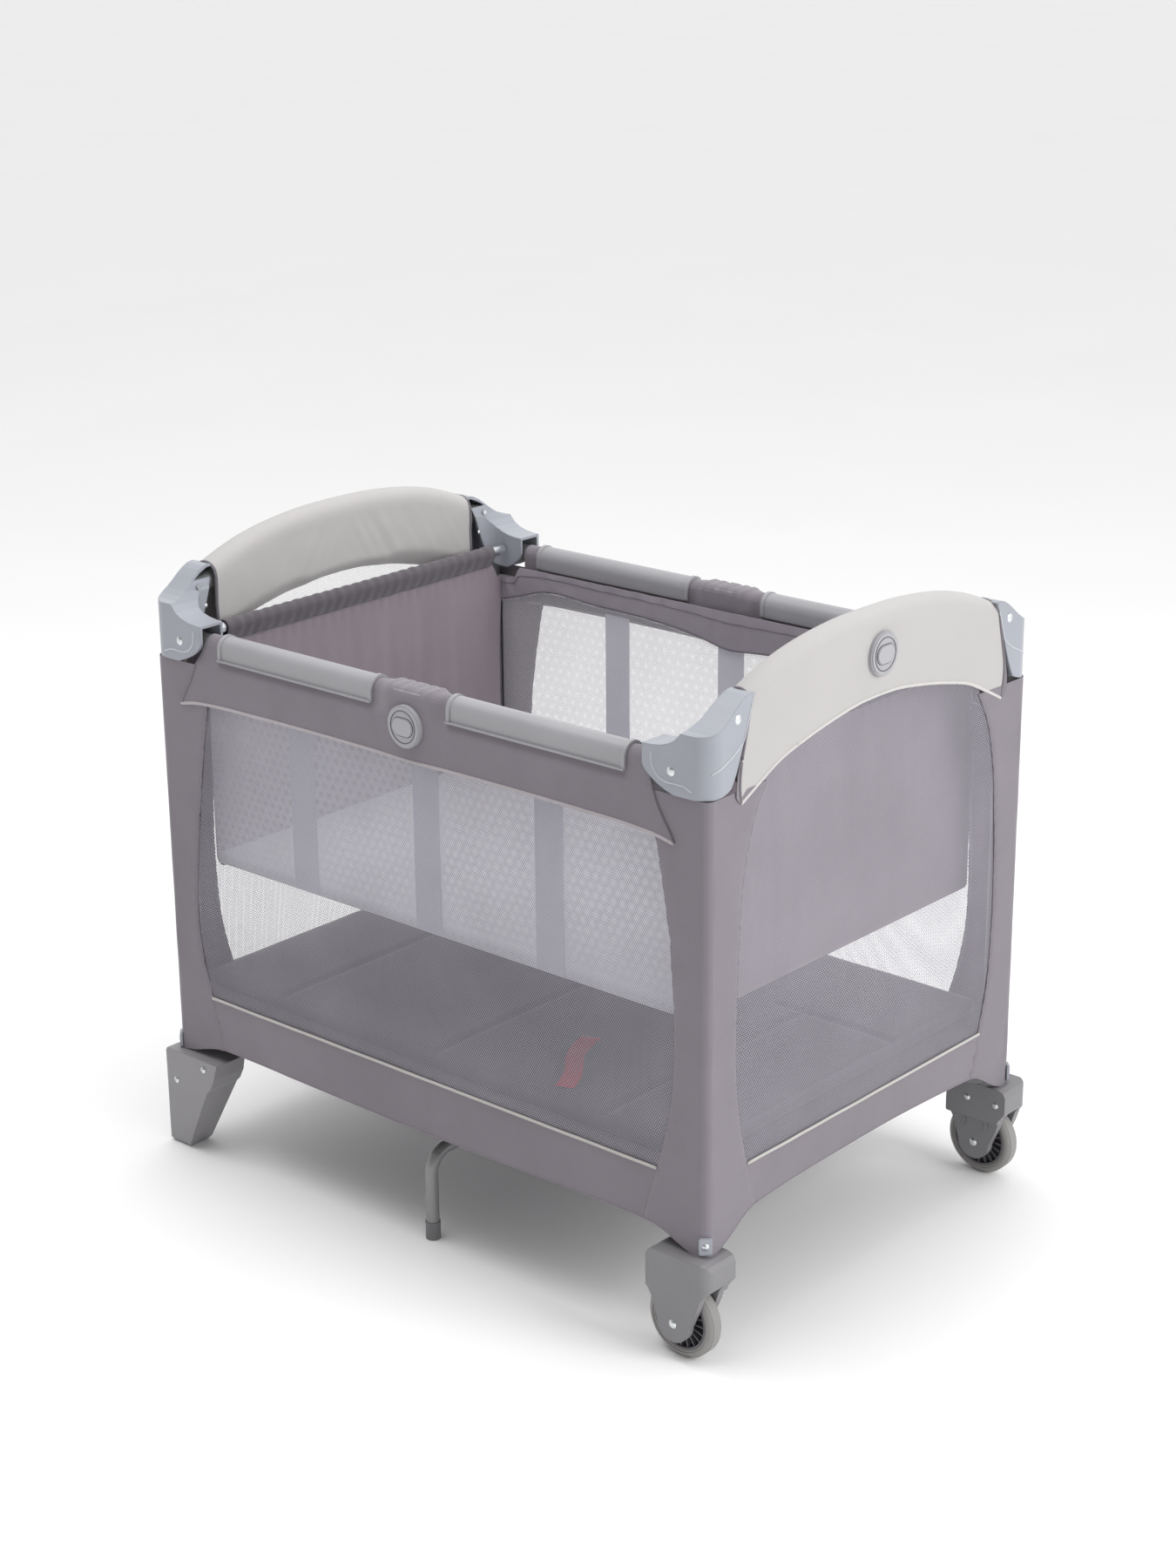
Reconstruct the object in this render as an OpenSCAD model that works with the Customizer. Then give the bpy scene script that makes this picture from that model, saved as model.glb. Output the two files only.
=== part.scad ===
// Folding travel play yard with a lift-off bassinet, two wheels and two feet.
// Z is up, X runs along the long sides and the wheels are at the +X end.
// The origin is on the floor at the middle of the yard.

/* [Frame] */
// Half the plan distance between leg centres along the long side
leg_x = 472; // [440:1:500]
// Half the plan distance between leg centres along the short side
leg_y = 320; // [300:1:340]
// Leg tube radius
leg_r = 13; // [11:0.5:15]
// Rail and arch tube radius
rail_r = 12.5; // [10:0.5:14]
// Wall thickness of every steel tube
wall = 1.2; // [1:0.1:2]
// Plan reach of each folding half along the long side
reach_x = 421; // [380:1:450]
// Plan reach of each folding half along the short side
reach_y = 238; // [200:1:260]

/* [Long rails] */
// Distance of the long rails from the middle plane
long_y = 322; // [310:1:330]
// Height of the long rails
long_z = 773; // [700:1:800]
// Distance of each long rail hinge pin from the middle
long_pin = 16; // [14:1:24]

/* [End arches] */
// Distance of the end arches from the middle plane
arch_x = 474; // [460:1:480]
// Height of the arch tube at its middle
arch_top = 885; // [850:1:900]
// Radius of the arch
arch_r = 706; // [600:1:900]
// Height of the arch hinge pins
arch_pin_z = 835; // [820:1:845]
// Distance of each arch hinge pin from the middle
arch_pin = 50; // [46:1:60]

/* [Bottom] */
// Height of the four bottom struts
strut_z = 160; // [150:1:175]
// Bottom strut radius
strut_r = 10; // [8:0.5:11]
// Distance of a leg's strut pivot from the middle along X
strut_x = 444; // [430:1:450]
// Distance of a leg's strut pivot from the middle along Y
strut_y = 300; // [290:1:305]
// Underside of the floor pad
floor_z = 247; // [240:1:260]
// Thickness of the floor pad
floor_t = 28; // [20:1:30]

/* [Wheels] */
// Wheel radius over the tyre
wheel_r = 52; // [45:1:55]
// Tyre width
wheel_w = 24; // [20:1:28]
// Distance of the wheel from the middle along X
wheel_x = 456; // [440:1:460]
// Distance of the wheel from the middle along Y
wheel_y = 335; // [325:1:340]

/* [Bassinet] */
// Underside of the bassinet
tub_z = 432; // [420:1:450]
// Half length of the bassinet
tub_x = 440; // [420:1:445]
// Half width of the bassinet
tub_y = 302; // [290:1:303]
// Distance of each end bar from the middle
bar_x = 427; // [420:1:432]
// Height of the end bars
bar_z = 779; // [760:1:785]

/* [Fabric] */
// Lowest edge of the skirt
hem_z = 152; // [148:1:160]
// Distance of the front and back walls from the middle plane
wall_y = 339.5; // [335:0.5:341]
// Distance of the end walls from the middle plane
wall_x = 491; // [485:0.5:493]

/* [Hidden] */
$fn = 48;
hub_x = strut_x - reach_x;
hub_y = strut_y - reach_y;
strut_len = sqrt(reach_x * reach_x + reach_y * reach_y);
strut_dir = atan2(reach_y, reach_x);
long_end = long_pin + reach_x;
arch_end = arch_pin + reach_y;
arch_mid_z = arch_top - arch_r;
grey_plastic = [0.53, 0.53, 0.55];
cap_grey = [0.62, 0.64, 0.67];
clip_grey = [0.72, 0.72, 0.74];
steel_grey = [0.42, 0.43, 0.44];
zinc = [0.75, 0.76, 0.78];
fabric_grey = [0.5, 0.48, 0.5];
cream = [0.86, 0.85, 0.82];

// ---- helpers -------------------------------------------------------------

// Puts a part drawn in the +X +Y quarter at the corner with signs sx, sy.
module at_corner(sx, sy) {
    mirror([sx < 0 ? 1 : 0, 0, 0]) mirror([0, sy < 0 ? 1 : 0, 0]) children();
}

// Extrudes an XZ outline along Y from y0 to y1.
module along_y(y0, y1) {
    translate([0, y1, 0]) rotate([90, 0, 0]) linear_extrude(height = y1 - y0) children();
}

// Extrudes a YZ outline along X from x0 to x1.
module along_x(x0, x1) {
    translate([x0, 0, 0]) rotate([90, 0, 90]) linear_extrude(height = x1 - x0) children();
}

// A rectangle with round corners.
module soft_rect(x, y, r) {
    square([x, y - 2 * r], center = true);
    square([x - 2 * r, y], center = true);
    for (sx = [-1, 1], sy = [-1, 1])
        translate([sx * (x / 2 - r), sy * (y / 2 - r)]) circle(r);
}

// A round tube along X from x0 to x1.
module tube_x(x0, x1, r, y, z) {
    translate([x0, y, z]) rotate([0, 90, 0]) difference() {
        cylinder(h = x1 - x0, r = r);
        translate([0, 0, -1]) cylinder(h = x1 - x0 + 2, r = r - wall);
    }
}

// ---- legs, caps, feet and forks -----------------------------------------

module leg_tube(sx, sy) color(steel_grey) at_corner(sx, sy)
    translate([leg_x, leg_y, 118]) difference() {
        cylinder(h = 682, r = leg_r);
        translate([0, 0, -1]) cylinder(h = 684, r = leg_r - wall);
    }

// Outline of a corner cap seen from above.
module cap_plan() {
    difference() {
        union() {
            translate([393, 302]) square([102 - 28, 41]);
            translate([455, 256]) square([40, 87 - 28]);
            translate([467, 315]) circle(28, $fn = 96);
            translate([433, 280]) square([30, 30]);
        }
        translate([433, 280]) circle(22, $fn = 96);
        translate([393, 256]) square([18, 46]);
    }
}

// Outline of a corner cap seen from a long side.
module cap_front() polygon([
    [391, 800], [405, 800.5], [420, 802.5], [432, 806], [442, 811.5], [450, 820], [456, 832], [460, 850],
    [463, 870], [500, 870], [500, 742], [465, 741], [452, 742], [440, 744.5], [428, 748.5], [417, 753.5],
    [408, 759], [400, 765], [395, 771], [391, 780]]);

// Outline of a corner cap seen from an end.
module cap_side() polygon([
    [257, 861], [264, 862.5], [272, 861], [281, 856.5], [291, 849.5], [301, 841.5], [311, 834], [321, 828],
    [331, 824], [345, 822], [345, 744], [330, 744.5], [316, 746.5], [306, 749.5], [300, 753], [294, 763],
    [288, 776], [281, 794], [274, 814], [268, 832], [262, 848]]);

module corner_cap(sx, sy) color(cap_grey) at_corner(sx, sy) difference() {
    intersection() {
        translate([0, 0, 735]) linear_extrude(height = 140) cap_plan();
        along_y(250, 350) cap_front();
        along_x(380, 500) cap_side();
    }
    // slot for the long rail, open below
    along_y(306, 338.5) polygon([[380, 730], [380, 796], [418, 797], [436, 801], [453, 806], [453, 730]]);
    // slot for the arch tube, open below
    along_x(459, 490.5) polygon([[250, 730], [250, 858], [266, 858], [280, 852], [292, 845], [303, 837], [303, 730]]);
    // socket for the leg tube
    translate([leg_x, leg_y, 700]) cylinder(h = 100.2, r = leg_r + 0.05);
    // holes for the two hinge rivets
    translate([long_end, 360, long_z]) rotate([90, 0, 0]) cylinder(h = 70, r = 3.5);
    translate([440, arch_end, arch_pin_z]) rotate([0, 90, 0]) cylinder(h = 70, r = 3.5);
}

// Two lugs that hold one end of a strut, drawn at the strut's own pivot with +X away from the strut.
module strut_lugs(length) {
    for (s = [-1, 1]) translate([0, s * 12.8 - 2, 0]) {
        rotate([-90, 0, 0]) difference() {
            union() {
                cylinder(h = 4, r = 9);
                translate([0, -9, 0]) cube([length, 18, 4]);
            }
            translate([0, 0, -1]) cylinder(h = 6, r = 3.6);
        }
    }
}

// Collar round the leg with the strut lugs, shared by feet and forks.
module leg_collar() {
    difference() {
        union() {
            translate([leg_x, leg_y, 146]) cylinder(h = 32, r = 17);
            translate([strut_x, strut_y, strut_z]) rotate([0, 0, strut_dir]) strut_lugs(26);
        }
        translate([leg_x, leg_y, 118]) cylinder(h = 80, r = leg_r + 0.05);
    }
}

module foot(sx, sy) color(grey_plastic) at_corner(sx, sy) {
    difference() {
        intersection() {
            along_y(290, 361) polygon([
                [502, 150], [506, 138], [509, 115], [510, 90], [509.5, 40], [507, 6], [503, 0], [468, 0],
                [464, 4], [414, 104], [406, 112], [398, 128], [394, 150]]);
            along_x(380, 515) polygon([
                [356, 150], [359, 138], [360, 110], [358, 60], [355, 6], [351, 0], [318, 0], [313, 6],
                [303, 100], [302, 150]]);
            translate([0, 0, -1]) linear_extrude(height = 160) difference() {
                translate([380, 290]) square([135, 75]);
                difference() {
                    translate([494, 344]) square([30, 30]);
                    translate([494, 344]) circle(16);
                }
            }
        }
        translate([leg_x, leg_y, 117.9]) cylinder(h = 80, r = leg_r + 0.05);
    }
    leg_collar();
}

module fork(sx, sy) color(grey_plastic) at_corner(sx, sy) {
    difference() {
        intersection() {
            along_y(303, 361) union() {
                polygon([
                    [412, 138], [416, 144], [422, 147], [498, 147], [506, 144], [510, 137], [510, 113], [499, 98],
                    [493, 80], [481, 52], [431, 52], [421, 82], [416, 90], [412, 94]]);
                translate([wheel_x, wheel_r]) circle(25, $fn = 64);
            }
            translate([0, 0, 20]) linear_extrude(height = 140) difference() {
                translate([400, 300]) square([115, 61]);
                difference() {
                    translate([494, 345]) square([30, 30]);
                    translate([494, 345]) circle(16);
                }
            }
        }
        // wheel well
        translate([400, 321, 0]) cube([120, 28, 106]);
        translate([400, 290, 0]) cube([120, 19, 92]);
        translate([wheel_x, 370, wheel_r]) rotate([90, 0, 0]) cylinder(h = 80, r = 4.1);
        translate([leg_x, leg_y, 117.9]) cylinder(h = 80, r = leg_r + 0.05);
    }
    // stiffening ribs on the inner cheek
    for (x = [441, 478]) along_y(305, 309) polygon([[x - 1.5, 94], [x + 1.5, 94], [x + 1.5, 80], [x - 1.5, 74]]);
    leg_collar();
}

// A screw or rivet with a domed head, drawn with its head at z = 0 to z = height.
module domed(r, height, shank_r, shank) {
    intersection() {
        translate([0, 0, height - (r * r + height * height) / (2 * height)])
            sphere(r = (r * r + height * height) / (2 * height));
        cylinder(h = height + 1, r = r);
    }
    translate([0, 0, -shank]) cylinder(h = shank + 0.2, r = shank_r);
}

// A pan-head screw with a cross recess, head from z = 0 upward.
module cross_screw(r, height, shank_r, shank) {
    difference() {
        domed(r, height, shank_r, shank);
        for (a = [0, 90]) rotate([0, 0, a]) translate([-r * 0.45, -0.6, height - 0.9]) cube([r * 0.9, 1.2, 2]);
    }
}

module fasteners(sx, sy) color(zinc) at_corner(sx, sy) {
    // hinge rivets of the long rail and the arch
    translate([long_end, 343, long_z]) rotate([-90, 0, 0]) domed(6, 2.2, 3.4, 42);
    translate([495, arch_end, arch_pin_z]) rotate([0, 90, 0]) domed(6, 2.2, 3.4, 42);
    // strut pivot pin
    translate([strut_x, strut_y, strut_z]) rotate([0, 0, strut_dir]) rotate([90, 0, 0])
        cylinder(h = 31, r = 3.4, center = true);
    // fabric tab and its screw on the corner line
    translate([488, 336, 162.5]) rotate([0, 0, 45]) difference() {
        rotate([90, 0, 90]) linear_extrude(height = 4) soft_rect(17, 23, 3);
        translate([-1, 0, 0]) rotate([0, 90, 0]) cylinder(h = 8, r = 2.1);
    }
    translate([490.9, 338.9, 162.5]) rotate([0, 0, 45]) rotate([0, 90, 0]) cross_screw(4.6, 2.4, 2, 4.5);
    // inner screws of the corner cap
    translate([455, 276, 806]) rotate([0, -90, 0]) cross_screw(3.2, 1.4, 1.5, 0);
    if (sx > 0) {
        // block screws and the axle
        for (x = [447, 494]) translate([x, 303, 122]) rotate([90, 0, 0]) cross_screw(5, 2.4, 2, 0);
        translate([wheel_x, 361, wheel_r]) rotate([-90, 0, 0]) domed(6, 2.6, 4, 52);
        translate([wheel_x, 309, wheel_r]) rotate([90, 0, 0]) cross_screw(6, 2.6, 4, 0.2);
    } else {
        for (p = [[421, 138], [480, 106]]) translate([p[0], p[1] > 120 ? 359.3 : 360.1, p[1]])
            rotate([-90, 0, 0]) cross_screw(5, 2.4, 2, 0);
    }
}

module tyre(sy) color([0.55, 0.53, 0.5]) translate([wheel_x, sy * wheel_y, wheel_r]) rotate([90, 0, 0])
    rotate_extrude($fn = 96) {
        translate([41, -wheel_w / 2 + 1]) square([3, wheel_w - 2]);
        translate([44, -wheel_w / 2 + 5]) square([8, wheel_w - 10]);
        translate([44, -wheel_w / 2 + 1]) square([3, wheel_w - 2]);
        for (s = [-1, 1]) intersection() {
            translate([44, s * (wheel_w / 2 - 8)]) circle(8);
            translate([44, -wheel_w / 2]) square([9, wheel_w]);
        }
    }

module wheel_core(sy) color([0.3, 0.3, 0.32]) translate([wheel_x, sy * wheel_y, wheel_r]) rotate([90, 0, 0])
    difference() {
        union() {
            difference() {
                cylinder(h = wheel_w - 2, r = 41, center = true, $fn = 96);
                cylinder(h = wheel_w, r = 37.5, center = true, $fn = 96);
            }
            cylinder(h = 3, r = 38, center = true);
            cylinder(h = wheel_w, r = 9, center = true);
            difference() {
                cylinder(h = wheel_w - 6, r = 19, center = true);
                cylinder(h = wheel_w, r = 16.5, center = true);
            }
            for (k = [0 : 19]) rotate([0, 0, k * 18]) translate([17.5, -0.9, -wheel_w / 2 + 3])
                cube([20.5, 1.8, wheel_w - 6]);
        }
        cylinder(h = wheel_w + 2, r = 4.2, center = true);
    }

// ---- bottom star ---------------------------------------------------------

module strut(sx, sy) color(steel_grey) at_corner(sx, sy)
    translate([hub_x, hub_y, strut_z]) rotate([0, 0, strut_dir]) difference() {
        union() {
            difference() {
                translate([10, 0, 0]) rotate([0, 90, 0]) cylinder(h = strut_len - 20, r = strut_r);
                translate([14, 0, 0]) rotate([0, 90, 0]) cylinder(h = strut_len - 28, r = strut_r - wall);
            }
            for (x = [0, strut_len]) translate([x, 0, 0]) rotate([90, 0, 0])
                cylinder(h = 2 * strut_r - 4, r = strut_r, center = true);
            translate([0, -strut_r + 2, -strut_r]) cube([14, 2 * strut_r - 4, 2 * strut_r]);
            translate([strut_len - 14, -strut_r + 2, -strut_r]) cube([14, 2 * strut_r - 4, 2 * strut_r]);
        }
        for (x = [0, strut_len]) translate([x, 0, 0]) rotate([90, 0, 0])
            cylinder(h = 30, r = 3.8, center = true);
    }

module hub() color([0.35, 0.35, 0.37]) {
    difference() {
        translate([0, 0, 174]) linear_extrude(height = 68) soft_rect(104, 168, 24);
        translate([0, 0, 173]) linear_extrude(height = 64) soft_rect(94, 158, 20);
    }
    // inner ribs that carry the lugs
    for (y = [-62, -31, 31, 62]) translate([-48, y - 2, 176]) cube([96, 4, 63]);
    for (sx = [-1, 1], sy = [-1, 1]) at_corner(sx, sy) {
        translate([hub_x, hub_y, strut_z]) rotate([0, 0, strut_dir]) {
            for (s = [-1, 1]) translate([0, s * 12.8 - 2, 0]) {
                rotate([-90, 0, 0]) cylinder(h = 4, r = 9);
                translate([-9, 0, 0]) cube([18, 4, 80]);
            }
            rotate([90, 0, 0]) cylinder(h = 28, r = 3.4, center = true);
        }
    }
    for (sy = [-1, 1]) translate([0, sy * 36, 127]) {
        for (s = [-1, 1]) translate([s * 12 - 2, 0, 0]) {
            rotate([0, 90, 0]) cylinder(h = 4, r = 9);
            translate([0, -8, 0]) cube([4, 16, 112]);
        }
        rotate([0, 90, 0]) cylinder(h = 26, r = 3.4, center = true);
    }
}

module pull_strap() color([0.75, 0.12, 0.16]) {
    // under the pad, up through its slit, then along the top of the pad
    translate([44, -76, 242.5]) rotate([0, 0, -36]) translate([-6, -13, 0]) cube([125, 26, 1.6]);
    translate([138, -147, 242.5]) rotate([0, 0, -64]) translate([-0.8, -13, 0]) cube([1.6, 26, 35]);
    translate([138, -147, 275.9]) rotate([0, 0, -64]) translate([-0.8, -13, 0]) cube([156, 26, 1.6]);
}

// Centre leg: out from the hub, round a bend and down to the floor.
module centre_leg(sy) color(steel_grey) mirror([0, sy < 0 ? 1 : 0, 0]) difference() {
    union() {
        translate([0, 36, 127]) rotate([-90, 0, 0]) cylinder(h = 256, r = 9);
        translate([0, 36, 127]) rotate([0, 90, 0]) cylinder(h = 16, r = 9, center = true);
        translate([0, 292, 97]) rotate([0, -90, 0]) rotate([0, 0, 0]) rotate_extrude(angle = 90) translate([30, 0]) circle(9);
        translate([0, 322, 10]) cylinder(h = 87, r = 9);
    }
    translate([0, 36, 127]) rotate([0, 90, 0]) cylinder(h = 30, r = 3.8, center = true);
}

module centre_tip(sy) color([0.3, 0.3, 0.3]) translate([0, sy * 322, 0]) difference() {
    cylinder(h = 26, r = 10.4);
    translate([0, 0, 9.9]) cylinder(h = 30, r = 9.05);
}

// ---- top rails -----------------------------------------------------------

// Half of a long rail at +X, flattened at both ends round its hinge pins.
module long_rail(sx, sy) color(steel_grey) at_corner(sx, sy) difference() {
    union() {
        tube_x(34, 421, rail_r, long_y, long_z);
        for (x = [long_pin, long_end]) translate([x, long_y, long_z]) rotate([90, 0, 0])
            cylinder(h = 13, r = rail_r, center = true);
        translate([long_pin, long_y - 6.5, long_z - rail_r]) cube([22, 13, 2 * rail_r]);
        translate([long_end - 20, long_y - 6.5, long_z - rail_r]) cube([20, 13, 2 * rail_r]);
    }
    for (x = [long_pin, long_end]) translate([x, long_y, long_z]) rotate([90, 0, 0])
        cylinder(h = 40, r = 3.7, center = true);
}

// Half of an end arch at +Y with a hinge knuckle at each end.
module arch_half(sx, sy) color(steel_grey) at_corner(sx, sy) difference() {
    union() {
        translate([arch_x, 0, arch_mid_z]) rotate([90, 0, 90]) rotate([0, 0, 90 - asin(277.5 / arch_r)])
            rotate_extrude(angle = asin(277.5 / arch_r) - asin(80 / arch_r), $fn = 360) translate([arch_r, 0])
                difference() {
                    circle(rail_r, $fn = 48);
                    circle(rail_r - wall, $fn = 48);
                }
        along_x(arch_x - 6.5, arch_x + 6.5) union() {
            translate([arch_pin, arch_pin_z]) circle(10);
            polygon([[40.5, 838], [52, 862], [74, 893], [90, 893], [90, 869], [78, 858], [59.5, 831]]);
            translate([arch_end, arch_pin_z]) circle(9);
            polygon([[262, 826], [262, 846], [288, 844.5], [297, 836], [296, 829], [290, 822.5], [280, 820],
                     [272, 821]]);
        }
    }
    for (y = [arch_pin, arch_end]) translate([arch_x, y, arch_pin_z]) rotate([0, 90, 0])
        cylinder(h = 40, r = 3.7, center = true);
}

// Round boss of a latch with a recess for its button, drawn on the XZ plane facing +Y.
module latch_boss(depth) {
    difference() {
        union() {
            rotate([-90, 0, 0]) cylinder(h = depth, r = 28.5, $fn = 72);
            translate([0, depth, 0]) rotate([-90, 0, 0]) cylinder(h = 1.5, r = 26.5, $fn = 72);
        }
        translate([0, depth - 7.5, 0]) along_y(0, 10) stadium(12.5);
    }
}

module stadium(r) {
    square([12, 2 * r], center = true);
    for (s = [-1, 1]) translate([s * 6, 0]) circle(r);
}

module long_latch(sy) color(grey_plastic) mirror([0, sy < 0 ? 1 : 0, 0]) {
    along_y(303, 341) translate([-28, 716]) square([56, 41]);
    for (y = [303, 330.5]) difference() {
        along_y(y, y + 10.5) translate([-28, 740]) square([56, 45]);
        for (s = [-1, 1]) translate([s * 28, y - 1, 785]) rotate([-90, 0, 0]) cylinder(h = 13, r = 5);
    }
    for (s = [-1, 1]) translate([s * long_pin, 335, long_z]) rotate([90, 0, 0]) cylinder(h = 26, r = 3.4);
    translate([0, 341, 740]) latch_boss(8);
}

module arch_latch(sx) color(grey_plastic) mirror([sx < 0 ? 1 : 0, 0, 0]) {
    along_x(458, 490) translate([-62, 812]) square([124, 11]);
    for (x = [458, 482.5]) along_x(x, x + 7.5) difference() {
        translate([-62, 812]) square([124, 60]);
        for (s = [-1, 1]) translate([s * 62, 872]) circle(9);
    }
    for (s = [-1, 1]) translate([462, s * arch_pin, arch_pin_z]) rotate([0, 90, 0]) cylinder(h = 24, r = 3.4);
    translate([490, 0, 851]) rotate([0, 0, -90]) latch_boss(8);
}

// Oval push button, drawn on the XZ plane facing +Y and filling the recess of a latch boss.
module button() {
    along_y(4.5, 11) stadium(12);
    along_y(11, 12) stadium(11);
}

module long_button(sy) color(cap_grey) mirror([0, sy < 0 ? 1 : 0, 0]) translate([0, 340.5, 740]) button();
module arch_button(sx) color(cap_grey) mirror([sx < 0 ? 1 : 0, 0, 0])
    translate([489.5, 0, 851]) rotate([0, 0, -90]) button();

// ---- fabric --------------------------------------------------------------

module side_wall(sy) color(fabric_grey) mirror([0, sy < 0 ? 1 : 0, 0])
    along_y(wall_y - 1, wall_y + 1) difference() {
        translate([-470, hem_z]) square([940, 738 - hem_z]);
        polygon([[-435, hem_z - 1], [-390, 170], [-200, 169], [0, 167], [200, 169], [390, 170],
                 [435, hem_z - 1]]);
        // opening for the latch
        translate([-32, 705]) square([64, 40]);
    }

module end_wall(sx) color(fabric_grey) mirror([sx < 0 ? 1 : 0, 0, 0])
    along_x(wall_x - 1, wall_x + 1) difference() {
        polygon([[-318, hem_z], [318, hem_z], [318, 740], [284, 740], [283, 725], [275, 727], [200, 756],
                 [100, 778], [0, 788], [-100, 778], [-200, 756], [-275, 727], [-283, 725], [-284, 740],
                 [-318, 740]]);
        polygon([[-300, hem_z - 1], [-262, 182], [-150, 189], [0, 192], [150, 189], [262, 182], [300, hem_z - 1]]);
    }

// Fabric sleeve over a long rail, with a deep flap outside and a short one inside.
module long_cover(sy) color(fabric_grey) mirror([0, sy < 0 ? 1 : 0, 0]) difference() {
    union() {
        translate([-389, long_y, long_z]) rotate([90, 0, 90]) difference() {
            linear_extrude(height = 778) circle(13.9);
            translate([0, 0, -1]) linear_extrude(height = 780) circle(12.9);
            translate([0, 0, -1]) linear_extrude(height = 780) translate([-20, -30]) square([40, 30]);
        }
        along_x(-389, 389) translate([long_y + 12.9, 742]) square([1, 31]);
        along_x(-389, 389) translate([long_y - 13.9, 742]) square([1, 31]);
        along_y(341.4, 342.4) polygon([
            [-436, 684], [-420, 691], [420, 691], [436, 684], [412, 738], [389, 742], [-389, 742], [-412, 738]]);
        along_y(334.9, 342.4) translate([-389, 742]) square([778, 1]);
    }
    // opening for the latch
    translate([-40, 290, 700]) cube([80, 60, 100]);
}

// Padded sleeve over an end arch.
module arch_cover(sx) color(cream) mirror([sx < 0 ? 1 : 0, 0, 0]) difference() {
    along_x(456, 492.5) polygon([
        for (y = [-255 : 15 : 255]) [y, arch_mid_z + sqrt(pow(arch_r + 22, 2) - y * y)],
        [263, 830], [276, 770], [279, 732], for (y = [270 : -15 : -270]) [y, 796 - y * y * 0.00087],
        [-279, 732], [-276, 770], [-263, 830]]);
    along_x(460.5, 489.5) polygon([
        for (y = [-300 : 15 : 300]) [y, arch_mid_z + sqrt(pow(arch_r + 15, 2) - y * y)], [300, 700], [-300, 700]]);
    // the latch, both hinge knuckles and the boss pass through
    translate([450, -64, 780]) cube([50, 128, 102]);
}

module floor_pad() color([0.4, 0.38, 0.4]) difference() {
    translate([-448, -306, floor_z]) cube([896, 612, floor_t]);
    translate([138, -147, 240]) rotate([0, 0, -64]) translate([-3, -16, 0]) cube([6, 32, 40]);
}

// ---- bassinet ------------------------------------------------------------

// Four channels, thicker at both ends, that snap over the long rails and open downward.
module bassinet_clips() color(clip_grey) for (sx = [-1, 1], sy = [-1, 1]) at_corner(sx, sy)
    translate([0, long_y, long_z]) difference() {
        union() {
            along_x(67, 363) union() {
                circle(16.6);
                translate([-16.6, -16]) square([33.2, 16]);
                translate([-16.6, -16]) square([37, 2]);
            }
            for (x = [67, 357]) along_x(x, x + 6) union() {
                circle(18.2);
                translate([-18.2, -14]) square([36.4, 14]);
            }
        }
        along_x(66, 364) union() {
            circle(14.4);
            translate([-14.4, -17]) square([28.8, 17]);
        }
    }

module bassinet_bars() color(zinc) for (sx = [-1, 1]) translate([sx * bar_x, 297, bar_z])
    rotate([90, 0, 0]) cylinder(h = 594, r = 8);

module bassinet_tub() color(fabric_grey) {
    // side walls, lower under the corner caps than between them
    for (s = [-1, 1]) along_y(s * (tub_y - 1) - 1, s * (tub_y - 1) + 1)
        polygon([[-tub_x, tub_z], [tub_x, tub_z], [tub_x, 736], [388, 738], [386, 757], [-386, 757],
                 [-388, 738], [-tub_x, 736]]);
    // end walls with a sleeve round each bar
    for (s = [-1, 1]) {
        translate([s * (tub_x - 1) - 1, -tub_y, tub_z]) cube([2, 2 * tub_y, 736 - tub_z]);
        translate([s * (tub_x - 1) - 1, -275, 735]) cube([2, 550, bar_z - 18 - 734]);
        difference() {
            union() {
                translate([s * bar_x, 275, bar_z]) rotate([90, 0, 0]) cylinder(h = 550, r = 9.6);
                translate([s > 0 ? bar_x : -tub_x, -275, bar_z - 18])
                    cube([tub_x - bar_x, 550, 18]);
            }
            translate([s * bar_x, 300, bar_z]) rotate([90, 0, 0]) cylinder(h = 600, r = 8.2);
        }
    }
    translate([-tub_x, -tub_y, tub_z]) cube([2 * tub_x, 2 * tub_y, 2]);
}

module bassinet_pad() color([0.7, 0.7, 0.72]) translate([-432, -296, tub_z + 2.5]) cube([864, 592, 22]);

// ---- output --------------------------------------------------------------

leg_tube(-1, -1);  // leg_tube_fl
corner_cap(-1, -1);  // corner_cap_fl
foot(-1, -1);  // foot_fl
fasteners(-1, -1);  // fasteners_fl
leg_tube(-1, 1);  // leg_tube_bl
corner_cap(-1, 1);  // corner_cap_bl
foot(-1, 1);  // foot_bl
fasteners(-1, 1);  // fasteners_bl
leg_tube(1, -1);  // leg_tube_fr
corner_cap(1, -1);  // corner_cap_fr
fork(1, -1);  // fork_fr
fasteners(1, -1);  // fasteners_fr
tyre(-1);  // tyre_fr
wheel_core(-1);  // wheel_core_fr
leg_tube(1, 1);  // leg_tube_br
corner_cap(1, 1);  // corner_cap_br
fork(1, 1);  // fork_br
fasteners(1, 1);  // fasteners_br
tyre(1);  // tyre_br
wheel_core(1);  // wheel_core_br
strut(-1, -1);  // strut_fl
strut(-1, 1);  // strut_bl
strut(1, -1);  // strut_fr
strut(1, 1);  // strut_br
hub();
pull_strap();
centre_leg(-1);  // centre_leg_front
centre_leg(1);  // centre_leg_back
centre_tip(-1);  // centre_tip_front
centre_tip(1);  // centre_tip_back
long_rail(-1, -1);  // rail_front_l
long_rail(1, -1);  // rail_front_r
long_rail(-1, 1);  // rail_back_l
long_rail(1, 1);  // rail_back_r
arch_half(-1, -1);  // arch_left_f
arch_half(-1, 1);  // arch_left_b
arch_half(1, -1);  // arch_right_f
arch_half(1, 1);  // arch_right_b
long_latch(-1);  // latch_front
long_latch(1);  // latch_back
arch_latch(-1);  // latch_left
arch_latch(1);  // latch_right
long_button(-1);  // button_front
long_button(1);  // button_back
arch_button(-1);  // button_left
arch_button(1);  // button_right
side_wall(-1);  // side_front
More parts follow.
